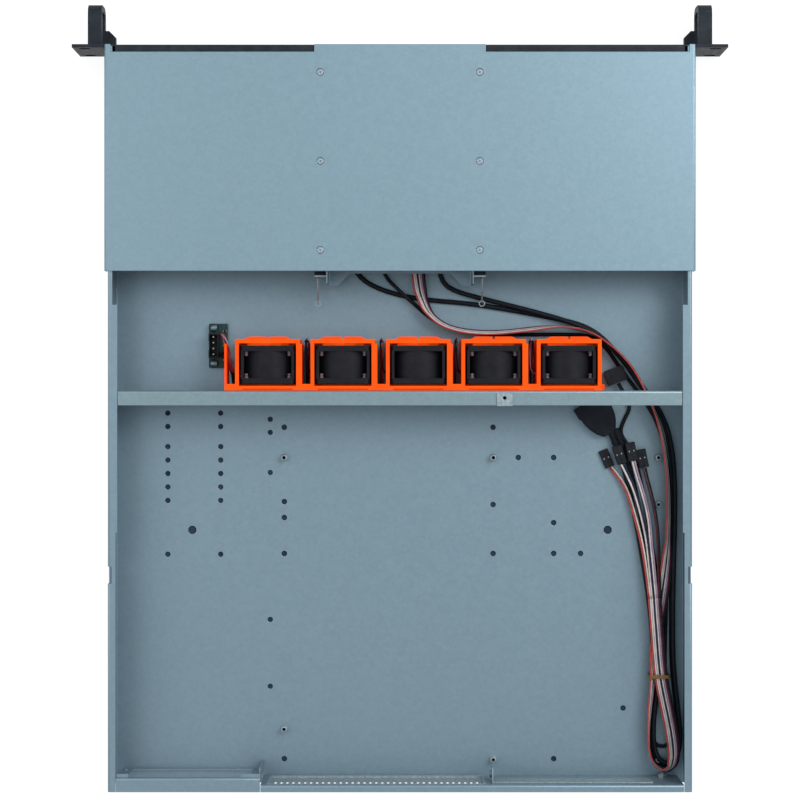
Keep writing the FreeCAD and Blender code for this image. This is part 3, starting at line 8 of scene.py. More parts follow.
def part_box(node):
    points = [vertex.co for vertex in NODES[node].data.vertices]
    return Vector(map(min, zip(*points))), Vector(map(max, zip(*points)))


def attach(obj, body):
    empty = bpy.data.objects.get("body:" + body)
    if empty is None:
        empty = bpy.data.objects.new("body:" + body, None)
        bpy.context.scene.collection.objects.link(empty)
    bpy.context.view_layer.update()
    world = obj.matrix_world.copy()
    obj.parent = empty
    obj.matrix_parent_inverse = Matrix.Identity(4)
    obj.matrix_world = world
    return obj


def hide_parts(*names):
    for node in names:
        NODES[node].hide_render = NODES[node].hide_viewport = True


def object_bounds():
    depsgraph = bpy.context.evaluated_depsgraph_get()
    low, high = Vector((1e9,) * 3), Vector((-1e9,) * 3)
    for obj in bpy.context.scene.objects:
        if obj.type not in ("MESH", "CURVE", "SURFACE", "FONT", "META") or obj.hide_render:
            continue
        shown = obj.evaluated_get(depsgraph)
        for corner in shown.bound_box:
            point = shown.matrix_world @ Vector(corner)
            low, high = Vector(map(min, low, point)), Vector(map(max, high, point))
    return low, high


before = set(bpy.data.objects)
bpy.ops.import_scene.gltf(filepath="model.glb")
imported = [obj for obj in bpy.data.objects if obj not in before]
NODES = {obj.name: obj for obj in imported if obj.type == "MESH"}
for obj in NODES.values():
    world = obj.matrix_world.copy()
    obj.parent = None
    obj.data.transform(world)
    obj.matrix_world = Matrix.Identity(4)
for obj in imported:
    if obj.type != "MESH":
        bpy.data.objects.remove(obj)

CAD_BOX = [list(corner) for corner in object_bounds()]
MM = 0.001
# Takes a shape drawn in mm to metres.
IN_MM = Matrix.Diagonal((MM, MM, MM, 1))
UP = Vector((0, 0, 1))
# Corners of a CAD mesh that are nearer than this, in metres, are one.
SAME_CORNER = 0.000002


# ---------------------------------------------------------------- materials

def srgb(red, green, blue):
    """The linear colour of an sRGB one, written 0 to 255."""
    def linear(value):
        value /= 255
        return value / 12.92 if value <= 0.04045 else ((value + 0.055) / 1.055) ** 2.4
    return (linear(red), linear(green), linear(blue), 1)


def wired(tree, kind, *inputs, **named):
    """A new shader node, its inputs set to values or joined to the outputs of other nodes."""
    node = tree.nodes.new(f"ShaderNode{kind}")
    for name, value in [*enumerate(inputs), *named.items()]:
        socket = node.inputs[name if isinstance(name, int) else name.replace("_", " ")]
        if isinstance(value, bpy.types.NodeSocket):
            tree.links.new(value, socket)
        else:
            socket.default_value = value
    return node


class Finish:
    """A Principled material whose colour, roughness and bump come from nodes in object coordinates."""

    def __init__(self, name, **sockets):
        self.material = bpy.data.materials.new(name)
        self.material.use_nodes = True
        self.tree = self.material.node_tree
        self.shader = self.tree.nodes["Principled BSDF"]
        for socket, value in sockets.items():
            self.shader.inputs[socket.replace("_", " ")].default_value = value
        self.place = wired(self.tree, "TexCoord").outputs["Object"]

    def stretched(self, scale):
        return wired(self.tree, "Mapping", Scale=scale, Vector=self.place).outputs["Vector"]

    def noise(self, scale, detail=3.0, place=None):
        place = place or self.place
        return wired(self.tree, "TexNoise", Scale=scale, Detail=detail, Vector=place).outputs["Fac"]

    def cells(self, scale, place):
        spots = wired(self.tree, "TexVoronoi", Scale=scale, Vector=place)
        return wired(self.tree, "SeparateColor", Color=spots.outputs["Color"]).outputs["Red"]

    def ramp(self, value, stops):
        node = wired(self.tree, "ValToRGB", Fac=value)
        band = node.color_ramp
        while len(band.elements) < len(stops):
            band.elements.new(0.5)
        for element, (position, colour) in zip(band.elements, stops):
            element.position = position
            element.color = colour
        return node.outputs["Color"]

    def between(self, value, low, high, start=0.3, end=0.7):
        return wired(
            self.tree, "MapRange", Value=value, From_Min=start, From_Max=end, To_Min=low,
            To_Max=high).outputs["Result"]

    def mixed(self, factor, first, second, blend="MIX"):
        node = wired(self.tree, "Mix")
        node.data_type = "RGBA"
        node.blend_type = blend
        node.inputs["Factor"].default_value = factor
        self.tree.links.new(first, node.inputs[6])
        self.tree.links.new(second, node.inputs[7])
        return node.outputs[2]

    def join(self, value, socket):
        self.tree.links.new(value, self.shader.inputs[socket])

    def bump(self, value, distance, strength=1.0):
        node = wired(self.tree, "Bump", Distance=distance, Strength=strength, Height=value)
        self.join(node.outputs["Normal"], "Normal")


def galvanised(name, base, light, dark, spangle=330):
    """Zinc-coated sheet: fine pale and dark crystals, wide faint clouds and thin rolling lines."""
    finish = Finish(name, Metallic=0.55)
    flakes = finish.cells(spangle, finish.stretched((1, 1, 0.2)))
    tone = finish.ramp(finish.noise(520, 5), [(0.3, dark), (0.5, base), (0.74, light)])
    cloud = finish.ramp(finish.noise(7, 3), [(0.3, dark), (0.55, base), (0.8, light)])
    grain = finish.ramp(
        finish.between(flakes, 0, 1, 0, 1), [(0.0, srgb(248, 249, 250)), (1.0, srgb(255, 255, 255))])
    finish.join(finish.mixed(1.0, finish.mixed(0.2, tone, cloud), grain, "MULTIPLY"), "Base Color")
    lines = finish.noise(60, 2, finish.stretched((30, 0.6, 1)))
    finish.join(finish.between(flakes, 0.405, 0.435, 0, 1), "Roughness")
    finish.bump(lines, 0.00001, 0.3)
    return finish.material


def plain(name, base, vary, roughness, scale=90, grain=900, depth=0.00003, **sockets):
    """A moulded, painted or plated finish: two close tones and a fine grain."""
    finish = Finish(name, **sockets)
    finish.join(finish.ramp(finish.noise(scale, 4), [(0.3, base), (0.72, vary)]), "Base Color")
    finish.join(finish.between(finish.noise(scale * 3, 2), *roughness), "Roughness")
    finish.bump(finish.noise(grain, 3), depth, 0.6)
    return finish.material


def circuit(name, base, trace):
    """A lacquered board with a faint pattern of tracks under the lacquer."""
    finish = Finish(name, Specular_IOR_Level=0.3)
    tracks = finish.cells(420, finish.stretched((1, 2.6, 1)))
    finish.join(finish.ramp(tracks, [(0.0, base), (0.62, base), (0.7, trace)]), "Base Color")
    finish.join(finish.between(finish.noise(300), 0.3, 0.48), "Roughness")
    finish.bump(tracks, 0.00002, 0.4)
    return finish.material


def dark_plastic(name, base, vary, roughness, scale=150, grain=2000, depth=0.00004):
    """Black plastic, foam or paint, with little gloss at a right angle; also the dark finishes of painted
    shade.
    """
    return plain(name, base, vary, roughness, scale, grain, depth, Specular_IOR_Level=0.14)


# The two close tones of each coloured wire.
WIRES = {
    "red": ((172, 70, 62), (150, 54, 50)), "white": ((208, 196, 190), (178, 172, 172)),
    "grey": ((128, 124, 134), (104, 102, 112)), "lilac": ((158, 138, 160), (132, 112, 136)),
    "blue": ((22, 32, 62), (15, 22, 46)), "maroon": ((84, 28, 34), (62, 20, 28)),
}


def make_finishes():
    """Every finish of the scene, by its short name."""
    zinc = galvanised("zinc", srgb(124, 149, 161), srgb(127, 152, 164), srgb(121, 146, 158))
    inner = galvanised("zinc_inner", srgb(121, 143, 155), srgb(124, 146, 158), srgb(118, 140, 152))
    bar = galvanised("zinc_bar", srgb(123, 144, 151), srgb(127, 148, 155), srgb(119, 140, 147))
    return {
        "zinc": zinc, "inner": inner, "bar": bar,
        "bright": galvanised(
            "bright_plate", srgb(148, 162, 168), srgb(172, 184, 188), srgb(122, 138, 146), 700),
        "steel": plain(
            "screw_steel", srgb(128, 140, 148), srgb(164, 172, 176), (0.24, 0.42), 400, Metallic=0.8),
        # Dark steel of the small screw heads; on the cover screws it is painted shade in the recess and round
        # the head.
        "dark_steel": plain(
            "dark_screw_and_shade", srgb(96, 116, 128), srgb(128, 146, 156), (0.28, 0.46), 500, Metallic=0.6),
        "boss": plain(
            "pressed_boss", srgb(142, 158, 166), srgb(158, 172, 179), (0.34, 0.5), 500, Metallic=0.5),
        "paint": dark_plastic(
            "black_paint", srgb(26, 32, 38), srgb(38, 45, 52), (0.45, 0.62), 120, 2600, 0.00006),
        "rubber": dark_plastic(
            "black_foam", srgb(22, 22, 24), srgb(34, 34, 36), (0.75, 0.95), 300, 2200, 0.0001),
        "orange": plain(
            "orange_plastic", srgb(252, 84, 2), srgb(242, 74, 1), (0.5, 0.62), 60, 1500,
            Specular_IOR_Level=0.12),
        "fan": dark_plastic("fan_plastic", srgb(18, 18, 23), srgb(25, 25, 31), (0.42, 0.6)),
        "blade": dark_plastic("fan_blade", srgb(14, 14, 18), srgb(21, 21, 26), (0.36, 0.52)),
        "rivet": plain("rubber_pin", srgb(112, 92, 96), srgb(84, 68, 72), (0.55, 0.72), 500, 1800, 0.00005),
        "board": circuit("circuit_board", srgb(6, 38, 37), srgb(13, 54, 50)),
        "plastic": dark_plastic("black_plastic", srgb(20, 23, 28), srgb(30, 33, 39), (0.42, 0.6)),
        "matt": dark_plastic(
            "hood_plastic", srgb(14, 20, 27), srgb(22, 29, 37), (0.52, 0.7), 160, 2400, 0.00006),
        "tie": plain("tie_plastic", srgb(116, 86, 26), srgb(90, 66, 18), (0.38, 0.54), 400, 1500),
        "black": dark_plastic(
            "cord_black", srgb(12, 17, 23), srgb(22, 28, 35), (0.4, 0.58), 140, 2200, 0.00003),
        **{wire: plain(
            f"wire_{wire}", srgb(*base), srgb(*vary), (0.4, 0.55), 160, 2200, 0.00002,
            Specular_IOR_Level=0.25) for wire, (base, vary) in WIRES.items()},
        "contact": plain(
            "contact", srgb(150, 152, 152), srgb(178, 180, 178), (0.3, 0.45), 600, Metallic=0.85),
        # Painted shade: this dark finish stands for the shade in recesses, bores and plug openings; on the
        # hub board it also colours the dark rings and the small parts.
        "black_and_painted_shade": dark_plastic("recess", srgb(10, 14, 18), srgb(18, 23, 28), (0.6, 0.8)),
    }


FINISH = make_finishes()

# Each CAD node that stays: its finish, and how far its edges are rounded, in mm.
KEPT = {
    "front_cover": ("zinc", 0.3), "chassis_base": ("inner", 0.18), "rear_panel": ("inner", 0.15),
    "psu_bracket": ("inner", 0.2), "drive_cage": ("inner", 0.2), "fan_bar": ("bar", 0.3),
    "io_shield": ("bright", 0.1), "slot_cover": ("bright", 0.15), "ground_stud": ("steel", 0.2),
    "cage_clips": ("steel", 0.1), "front_usb_ports": ("steel", 0.15), "front_panel": ("paint", 0.25),
    "handle_left": ("paint", 1.1), "handle_right": ("paint", 1.1), "cage_bumpers": ("rubber", 0.8),
    "front_io_board": ("board", 0), "power_button": ("plastic", 0.5), "reset_button": ("plastic", 0.4),
}


def bevelled(thing, width, segments, angle):
    """Rounds the edges that turn by more than an angle in degrees; the width is in metres."""
    bevel = thing.modifiers.new("edges", "BEVEL")
    bevel.width = width
    bevel.segments = segments
    bevel.limit_method = "ANGLE"
    bevel.angle_limit = math.radians(angle)
    return bevel


def dress(node, finish, rounding):
    """Gives a CAD node its material, and rounds its edges a little so that they catch the light."""
    thing = NODES[node]
    thing.data.materials.clear()
    thing.data.materials.append(FINISH[finish])
    if rounding:
        weld = thing.modifiers.new("weld", "WELD")
        weld.merge_threshold = SAME_CORNER
        bevelled(thing, rounding * MM, 3 if rounding > 1 else 2, 50)


# ---------------------------------------------------------------- mesh helpers

def added(name, data):
    """A new object in the scene."""
    thing = bpy.data.objects.new(name, data)
    bpy.context.collection.objects.link(thing)
    return thing


def piece(name, shape, finishes, body, stands_for=(), smooth=True):
    """Turns a bmesh into a piece that rides on a body."""
    mesh = bpy.data.meshes.new(name)
    bmesh.ops.recalc_face_normals(shape, faces=shape.faces)
    shape.to_mesh(mesh)
    shape.free()
    for finish in finishes:
        mesh.materials.append(FINISH[finish])
    for polygon in mesh.polygons:
        polygon.use_smooth = smooth
    thing = added(name, mesh)
    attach(thing, body)
    if stands_for:
        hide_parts(*stands_for)
    return thing


def moulded(name, shape, finishes, stands_for, width, angle=40):
    """A flat-shaded piece on the chassis, its sharp edges rounded by a width in metres."""
    thing = piece(name, shape, finishes, "chassis", stands_for, False)
    bevelled(thing, width, 2, angle).harden_normals = True
    return thing


def skin(shape, low, high, index=0):
    """A band of faces between two loops of as many corners."""
    for k in range(len(low)):
        after = (k + 1) % len(low)
        shape.faces.new([low[k], low[after], high[after], high[k]]).material_index = index


def outline_prism(shape, points, low, high, place=Matrix(), index=0):
    """A closed outline in XY, pushed from low to high, then moved by a matrix."""
    ends = [[shape.verts.new(place @ Vector((x, y, z))) for x, y in points] for z in (low, high)]
    for end in ends:
        shape.faces.new(end).material_index = index
    skin(shape, *ends, index)


def rectangle(half_x, half_y, x=0.0, y=0.0):
    """The outline of a rectangle round a point."""
    return [(x + a * half_x, y + b * half_y) for a, b in ((-1, -1), (1, -1), (1, 1), (-1, 1))]


def ring(radius, count):
    """Points on a circle round the origin."""
    step = 2 * math.pi / count
    return [(radius * math.cos(k * step), radius * math.sin(k * step)) for k in range(count)]


def lathe(shape, profile, place, count=32, index=0):
    """Turns a profile of (radius, height) about Z, closes it at both ends, and moves it."""
    rings = []
    for radius, height in profile:
        if radius == 0:
            rings.append([shape.verts.new(place @ Vector((0, 0, height)))])
        else:
            rings.append([shape.verts.new(place @ Vector((x, y, height))) for x, y in ring(radius, count)])
    for low, high in zip(rings, rings[1:]):
        for k in range(count):
            after = (k + 1) % count
            corners = [low[k % len(low)], low[after % len(low)], high[after % len(high)], high[k % len(high)]]
            shape.faces.new(list(dict.fromkeys(corners))).material_index = index
    for end in (rings[0], rings[-1]):
        if len(end) > 1:
            shape.faces.new(end).material_index = index


def tube(shape, points, radii, sides=8, index=0):
    """A round wire along points, with closed ends; its radius is one number or one for each point."""
    rings = []
    across = None
    for k, point in enumerate(points):
        radius = radii[k] if isinstance(radii, list) else radii
        ahead = (points[min(k + 1, len(points) - 1)] - points[max(k - 1, 0)]).normalized()
        if across is None:
            across = ahead.cross(UP if abs(ahead.z) < 0.9 else Vector((1, 0, 0)))
        across = (across - ahead * across.dot(ahead)).normalized()
        other = ahead.cross(across)
        rings.append([shape.verts.new(point + across * x + other * y) for x, y in ring(radius, sides)])
    for low, high in zip(rings, rings[1:]):
        skin(shape, low, high, index)
    for end in (rings[0], rings[-1]):
        shape.faces.new(end).material_index = index


def cad_mesh(node):
    """A welded copy of a CAD node's mesh."""
    shape = bmesh.new()
    shape.from_mesh(NODES[node].data)
    bmesh.ops.remove_doubles(shape, verts=shape.verts, dist=SAME_CORNER)
    return shape


def islands(node):
    """The lowest and highest corners of each separate solid in a CAD node."""
    shape = cad_mesh(node)
    shape.verts.ensure_lookup_table()
    seen, boxes = set(), []
    for start in shape.verts:
        if start.index in seen:
            continue
        group, edge = [], [start]
        seen.add(start.index)
        while edge:
            vertex = edge.pop()
            group.append(vertex.co.copy())
            for link in vertex.link_edges:
                other = link.other_vert(vertex)
                if other.index not in seen:
                    seen.add(other.index)
                    edge.append(other)
        boxes.append((
            Vector([min(co[k] for co in group) for k in range(3)]),
            Vector([max(co[k] for co in group) for k in range(3)])))
    shape.free()
    return boxes


def cut_away(shape, tools, operation="DIFFERENCE"):
    """One bmesh cut by, or joined with, others; all are used up and a new one comes back."""
    things = []
    for k, part in enumerate([shape] + tools):
        bmesh.ops.recalc_face_normals(part, faces=part.faces)
        mesh = bpy.data.meshes.new(f"step_{k}")
        part.to_mesh(mesh)
        part.free()
        things.append(added(f"step_{k}", mesh))
    for tool in things[1:]:
        change = things[0].modifiers.new("change", "BOOLEAN")
        change.operation = operation
        change.solver = "EXACT"
        change.object = tool
    bpy.context.view_layer.update()
    made = bpy.data.meshes.new_from_object(things[0].evaluated_get(bpy.context.evaluated_depsgraph_get()))
    result = bmesh.new()
    result.from_mesh(made)
    bpy.data.meshes.remove(made)
    for thing in things:
        mesh = thing.data
        bpy.data.objects.remove(thing)
        bpy.data.meshes.remove(mesh)
    return result


def standing(place, turn=0, axis="Z"):
    """A place in mm, turned about an axis by an angle in degrees."""
    return IN_MM @ (Matrix.Translation(place) @ Matrix.Rotation(math.radians(turn), 4, axis))


def boxed(node):
    """The lowest and highest corners of a CAD node, in mm."""
    return [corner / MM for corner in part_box(node)]


def slab(x, y, z):
    """A new bmesh of one block, its three spans given in mm."""
    shape = bmesh.new()
    corners = [(x[0], y[0]), (x[1], y[0]), (x[1], y[1]), (x[0], y[1])]
    outline_prism(shape, corners, *z, IN_MM)
    return shape


def rounded(half_x, half_y, radius, steps=5, x=0.0, y=0.0):
    """The outline of a rectangle with round corners."""
    points = []
    for side_x, side_y, start in ((1, 1, 0), (-1, 1, 90), (-1, -1, 180), (1, -1, 270)):
        for k in range(steps + 1):
            angle = math.radians(start + 90 * k / steps)
            points.append((
                x + side_x * (half_x - radius) + radius * math.cos(angle),
                y + side_y * (half_y - radius) + radius * math.sin(angle)))
    return points


def upright(low, high):
    """The foot of an upright round solid as a place, and its radius and height in mm."""
    foot = ((low.x + high.x) / 2 / MM, (low.y + high.y) / 2 / MM, low.z / MM)
    return standing(foot), (high.x - low.x) / 2 / MM, (high.z - low.z) / MM


def cross_head(shape, place, radius, height):
    """A pan head: a domed disc, and a thin cross of the second finish on its top for the recess; that finish
    is painted shade on the cover screws and a painted highlight on the small screws.
    """
    profile = [(radius, 0), (radius, height * 0.45), (radius * 0.9, height * 0.8), (radius * 0.66, height)]
    lathe(shape, profile, place, 24)
    arm, wide = radius * 0.52, radius * 0.13
    for turn in (0, 90):
        cross = place @ Matrix.Rotation(math.radians(turn + 20), 4, "Z")
        outline_prism(shape, rectangle(arm, wide), height * 0.9, height * 1.02, cross, 1)


# ---------------------------------------------------------------- cords

# Diameters, widths and distances in mm.
USB_D = 3.6
AUDIO_D = 2.8
HARNESS_D = 3.4
RIBBON_PITCH = 1.3
STRAND_D = 1.24
WIRE_D = 1.04
USB_CABLE_A = [
    (34.5, -255, 13.8), (34.4, -238, 12.4), (34, -216, 6.2), (34.7, -183, 3.1), (37.3, -146, 3.1),
    (36.6, -116, 3.1), (27.9, -102.5, 3.1), (6, -93.3, 3.1), (-20, -88.6, 3.1), (-50, -86.4, 3.1),
    (-84, -81.2, 3.1), (-114, -75.4, 3.1), (-136, -70.6, 3.1), (-150, -63, 3.1), (-161.4, -51.2, 3.1),
    (-171, -39.8, 3.1), (-180, -25.8, 3.1), (-190.4, -12, 3.1), (-198.2, 1, 3.1), (-203, 18, 3.1),
    (-205.4, 40, 3.1), (-206, 72, 3.1), (-205, 110, 3.1), (-204.4, 150, 3.1), (-204.8, 186, 3.1),
    (-207.6, 212, 3.1), (-210.6, 236, 3.1), (-210.4, 251, 3.1), (-206.4, 259.4, 3.1), (-199.6, 262.2, 3.1),
    (-192.6, 259, 3.1), (-189.4, 248, 3.1), (-188.8, 231, 3.1), (-189.8, 210, 3.5), (-190.6, 191.6, 3.9),
    (-190.4, 165, 3.3), (-187, 133, 3.1), (-181.4, 98, 3.1), (-175, 64, 3.1), (-169.8, 42, 3.2),
    (-164.8, 27, 4.3), (-160.9, 16.2, 6.2),
]
USB_CABLE_B = [
    (-31.5, -255, 13.8), (-31.4, -238, 12.4), (-31, -216, 6.2), (-30, -184, 3.1), (-28.6, -148, 3.1),
    (-28.4, -116, 3.1), (-32, -101, 3.2), (-43, -94.6, 4.2), (-66, -88.6, 5.9), (-98, -80.6, 6.9),
    (-124, -73.4, 6.9), (-146, -64.8, 6.9), (-160, -52, 6.9), (-171.6, -38.8, 6.9), (-181, -25, 6.9),
    (-191.6, -11.4, 6.9), (-199.2, 2, 6.9), (-204, 19, 6.9), (-206.4, 41, 6.9), (-206.9, 72, 6.9),
    (-205.8, 110, 6.9), (-205, 150, 6.9), (-205.4, 186, 6.9), (-208.4, 214, 6.9), (-210.8, 236, 7),
    (-210.2, 249, 7.2), (-206.2, 257.2, 7.4), (-200.4, 260.2, 7.5), (-194.4, 256.6, 7.4), (-190.8, 247, 7.3),
    (-190.4, 231, 7.1), (-192.8, 208.6, 7.4), (-195.4, 191, 7.9), (-195.4, 167, 6.4), (-192, 136, 4),
    (-187.2, 104, 3.1), (-180.8, 70, 3.1), (-174.9, 43.4, 3.3), (-169.6, 26.4, 4.6), (-164.6, 14, 6.2),
]
AUDIO_CABLE = [
    (12.5, -255, 13.8), (12.4, -238, 12), (12.6, -216, 5.6), (13.6, -184, 2.9), (15.6, -150, 2.9),
    (15.6, -119, 2.9), (10.4, -105.2, 4.2), (3.4, -98.4, 7.1), (-4.4, -91, 7.1), (-12.6, -84, 4.4),
    (-22, -75.2, 2.9), (-40, -66.4, 2.9), (-64, -62.6, 2.9), (-92, -62.6, 2.9), (-124, -63, 2.9),
    (-144, -62.2, 2.9), (-155.4, -53, 2.9), (-164.6, -39.4, 2.9), (-174.4, -26, 2.9), (-185, -12, 2.9),
    (-194, 4, 2.9), (-199.8, 23, 2.9), (-202, 45, 2.9), (-202.6, 72, 2.9), (-201.8, 110, 2.9),
    (-200.4, 148, 2.9), (-199.5, 184, 2.9), (-200, 200, 2.9), (-202.8, 216, 2.9), (-205.4, 231, 2.9),
    (-204.4, 243.6, 2.9), (-198.6, 248.4, 2.9), (-192, 246, 2.9), (-189.4, 238, 2.9), (-191, 222, 3.2),
    (-194.8, 202, 3.8), (-196.6, 183, 3.8), (-196.3, 156, 3.1), (-193.9, 122, 2.9), (-188.4, 86, 2.9),
    (-182.6, 52, 2.9), (-178, 34, 2.9), (-172.4, 21, 2.7), (-165.4, 11.4, 2.5), (-169, 1, 3), (-174, -8, 3.4),
    (-168.8, -18.2, 5.4), (-164.2, -25.6, 8),
]
PANEL_RIBBON = [
    (-10.5, -255, 13.8), (-10.6, -238, 12.4), (-11.2, -216, 7), (-12.4, -184, 4.4), (-13, -150, 4.2),
    (-13.2, -119, 5), (-14, -103.4, 9), (-16.4, -90, 10.6), (-22, -77.6, 10.4), (-33.4, -68.8, 9.8),
    (-50, -64.6, 10), (-71, -63.6, 10.2), (-94, -66, 11.6), (-120, -69, 13.6), (-141.6, -65.8, 14.6),
    (-158.6, -54.4, 14.6), (-173.4, -39.4, 14.6), (-184.6, -19.4, 14.6), (-194, 3, 13.4), (-199.6, 28, 11.4),
    (-202, 58, 10.3), (-201.6, 90, 10.2), (-200.2, 110, 9.6), (-197.6, 130, 8.9), (-194.2, 152, 9.4),
    (-191.6, 176, 10), (-190.2, 197, 10), (-187.2, 220, 10.5), (-186.2, 240, 10.5), (-187.6, 254, 10.3),
    (-192, 262.4, 10.2), (-198.2, 265, 10.5), (-203.4, 262.6, 11.2), (-205.9, 253.6, 12), (-204.2, 237, 12.7),
    (-199.4, 214, 13.4), (-195.6, 196, 13.9), (-193.8, 178, 13.9), (-192.6, 160, 13.4), (-191.5, 146, 12.8),
    (-190.9, 135, 12.4),
]
# How the flat ribbon lies at points of its route: the point, and its lean from flat in degrees.
RIBBON_LAY = [
    (0, 0), (5, 0), (6, 14), (7, 46), (8, 66), (9, 70), (10, 70), (12, 72), (13, 84), (15, 84), (17, 80),
    (19, 70), (20, 68), (21, 62), (22, 34), (23, 12), (24, 12), (25, 30), (26, 54), (27, 66), (28, 76),
    (29, 84), (31, 100), (32, 122), (33, 152), (34, 168), (36, 176), (38, 178), (40, 179),
]
RIBBON_COLOURS = ["black", "maroon", "lilac", "white", "blue", "white", "white", "red"]
# Each pair of panel leads: its route, the end of its plug, the plug's turn in degrees, and its two colours.
PANEL_LEADS = [
    ([(-187, 135, 12.4), (-184.6, 113, 10.9), (-181.2, 92, 8.8), (-176.6, 74, 7.2), (-171.4, 56, 5.6),
      (-165.4, 45, 4.2), (-158.8, 37.4, 2.8)], (-158.4, 37.4, 2.6), 23, ("red", "white")),
    ([(-189.6, 135, 12.4), (-187.4, 113, 11.6), (-185.4, 92, 10.8), (-181.6, 74, 10.6), (-176, 54, 10.6),
      (-170.6, 42, 10.6), (-166.7, 34.6, 10.6)], (-166.7, 34.6, 10.6), 18, ("white", "blue")),
    ([(-192.2, 135, 12.4), (-190.4, 113, 11.7), (-188.2, 92, 11), (-186.8, 74, 10.6), (-181.6, 54, 10.5),
      (-177.2, 41, 10.5), (-175.2, 32.4, 10.6)], (-175.2, 32.4, 10.6), 12, ("white", "lilac")),
    ([(-194.8, 135, 12.4), (-194, 113, 11.6), (-193.8, 92, 10.9), (-192.2, 74, 10), (-188, 55, 9),
      (-184.6, 43, 8.5), (-183.6, 37.6, 8.4)], (-183.6, 37.6, 8.4), 12, ("maroon", "black")),
]
# The first fan's lead hangs in a loop beside the row; the others, drawn from their fan's axis, go under
# the bar.
FIRST_FAN_LEAD = [
    (117.9, -32.9, 26), (123.6, -33.4, 26.8), (126.4, -42.6, 31.6), (127.4, -52.4, 31.4), (131, -60.6, 26),
    (133.4, -62.8, 16.8), (133.4, -63, 7.4),
]
FAN_LEAD = [
    (20.4, -32.9, 26), (26.8, -33.4, 26.8), (27.2, -43, 33.6), (27.2, -56.8, 32.4), (27.2, -58, 18.4),
    (27.1, -45, 13.4), (27.2, -27, 14.8), (27.2, -16.8, 16.6),
]
FAN_HARNESS = [
    (-100, -14.8, 17), (-50, -13.6, 17), (0, -14.8, 17), (50, -13.6, 17), (96, -14.8, 17),
    (115.6, -13.9, 15.8), (123.2, -18, 14.2), (124.3, -26.5, 11.6), (125.6, -35, 9.2), (129.6, -43, 7.4),
    (134.4, -49, 6.8),
]
# The axis of each fan across the case.
FAN_XS = [97.5, 42, -13.5, -69, -124.5]
FAN_LEAD_COLOURS = [
    ["red", "red", "lilac"], ["black", "blue", "maroon"], ["black", "maroon", "red"],
    ["black", "maroon", "grey"], ["maroon", "lilac", "black"],
]


def metres(route):
    """A route's points in metres."""
    return [Vector(point) * MM for point in route]


def spline_curve(name, route, bevel=0.0, resolution=8):
    """A curve object of one smooth NURBS spline with the route's points as its control points."""
    curve = bpy.data.curves.new(name, "CURVE")
    curve.dimensions = "3D"
    curve.resolution_u = resolution
    curve.bevel_depth = bevel
    curve.bevel_resolution = 3
    curve.use_fill_caps = True
    spline = curve.splines.new("NURBS")
    spline.points.add(len(route) - 1)
    for point, place in zip(spline.points, metres(route)):
        point.co = (*place, 1)
    spline.order_u = 3
    spline.use_endpoint_u = True
    return added(name, curve)


def centreline(route, resolution=8):
    """Points along a route's own NURBS spline."""
    thing = spline_curve("line", route, 0.0, resolution)
    bpy.context.view_layer.update()
    mesh = bpy.data.meshes.new_from_object(thing)
    line = [vertex.co.copy() for vertex in mesh.vertices]
    curve = thing.data
    bpy.data.objects.remove(thing)
    bpy.data.curves.remove(curve)
    bpy.data.meshes.remove(mesh)
    return line


def measured(line):
    """The length of a line of points."""
    return sum((b - a).length for a, b in zip(line, line[1:]))


def round_cord(node, route, diameter, with_pieces=()):
    """A plain black cable."""
    thing = spline_curve(f"{node}_cord", route, diameter / 2 * MM)
    thing.data.materials.append(FINISH["black"])
    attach(thing, "chassis")
    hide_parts(node)
    measured(centreline(route))


def sideways(line):
    """For each point of a line, the level direction across it and the one at right angles to both."""
    pairs = []
    for k in range(len(line)):
        ahead = (line[min(k + 1, len(line) - 1)] - line[max(k - 1, 0)]).normalized()
        across = ahead.cross(UP) if abs(ahead.z) < 0.97 else Vector((1, 0, 0))
        across.normalize()
        pairs.append((across, across.cross(ahead).normalized()))
    return pairs


def keyed(keys, at):
    """The values of a table at a place between its rows, eased."""
    for low, high in zip(keys, keys[1:]):
        if at <= high[0]:
            share = (at - low[0]) / (high[0] - low[0])
            share = share * share * (3 - 2 * share)
            return [a + (b - a) * share for a, b in zip(low[1:], high[1:])]
    return list(keys[-1][1:])


def make_ribbon():
    """Eight wires side by side, which lean as the ribbon turns on its edge and lies down again."""
    line = centreline(PANEL_RIBBON)
    pairs = sideways(line)
    count = len(RIBBON_COLOURS)
    strands = [[] for _ in range(count)]
    for k, (point, (across, rise)) in enumerate(zip(line, pairs)):
        lean = math.radians(keyed(RIBBON_LAY, k / (len(line) - 1) * (len(PANEL_RIBBON) - 1))[0])
        wide = across * math.cos(lean) + rise * math.sin(lean)
        thin = rise * math.cos(lean) - across * math.sin(lean)
        for n in range(count):
            ripple = 0.07 * math.sin(k * 0.05 + n * 2.1)
            offset = wide * (n - (count - 1) / 2) * RIBBON_PITCH + thin * ripple
            strands[n].append(point + offset * MM)
    shape = bmesh.new()
    used = sorted(set(RIBBON_COLOURS))
    for strand, colour in zip(strands, RIBBON_COLOURS):
        tube(shape, strand, STRAND_D / 2 * MM, 7, used.index(colour))
    thing = piece("panel_ribbon_wires", shape, used, "chassis", ["panel_ribbon"])


def lead_pair(number, route, colours, plug):
    """Two wires of the ribbon that leave it side by side, a little thicker where they enter their plug."""
    line = centreline(route, 10)
    total = len(line) - 1
    shape = bmesh.new()
    for n in range(2):
        strand, radii = [], []
        for k, (point, (across, rise)) in enumerate(zip(line, sideways(line))):
            share = k / total
            tilt = math.radians(14 * math.sin(math.pi * share) * math.sin(4.7 * share + number))
            aside = across * math.cos(tilt) + rise * math.sin(tilt)
            strand.append(point + aside * ((n - 0.5) * (RIBBON_PITCH + 0.5 * share)) * MM)
            radii.append((STRAND_D / 2 + 0.14 * share) * MM)
        tube(shape, strand, radii, 10, n)
    thing = piece(
        f"panel_lead_wires_{number}", shape, list(colours), "chassis",
        [f"panel_lead_{number}"])


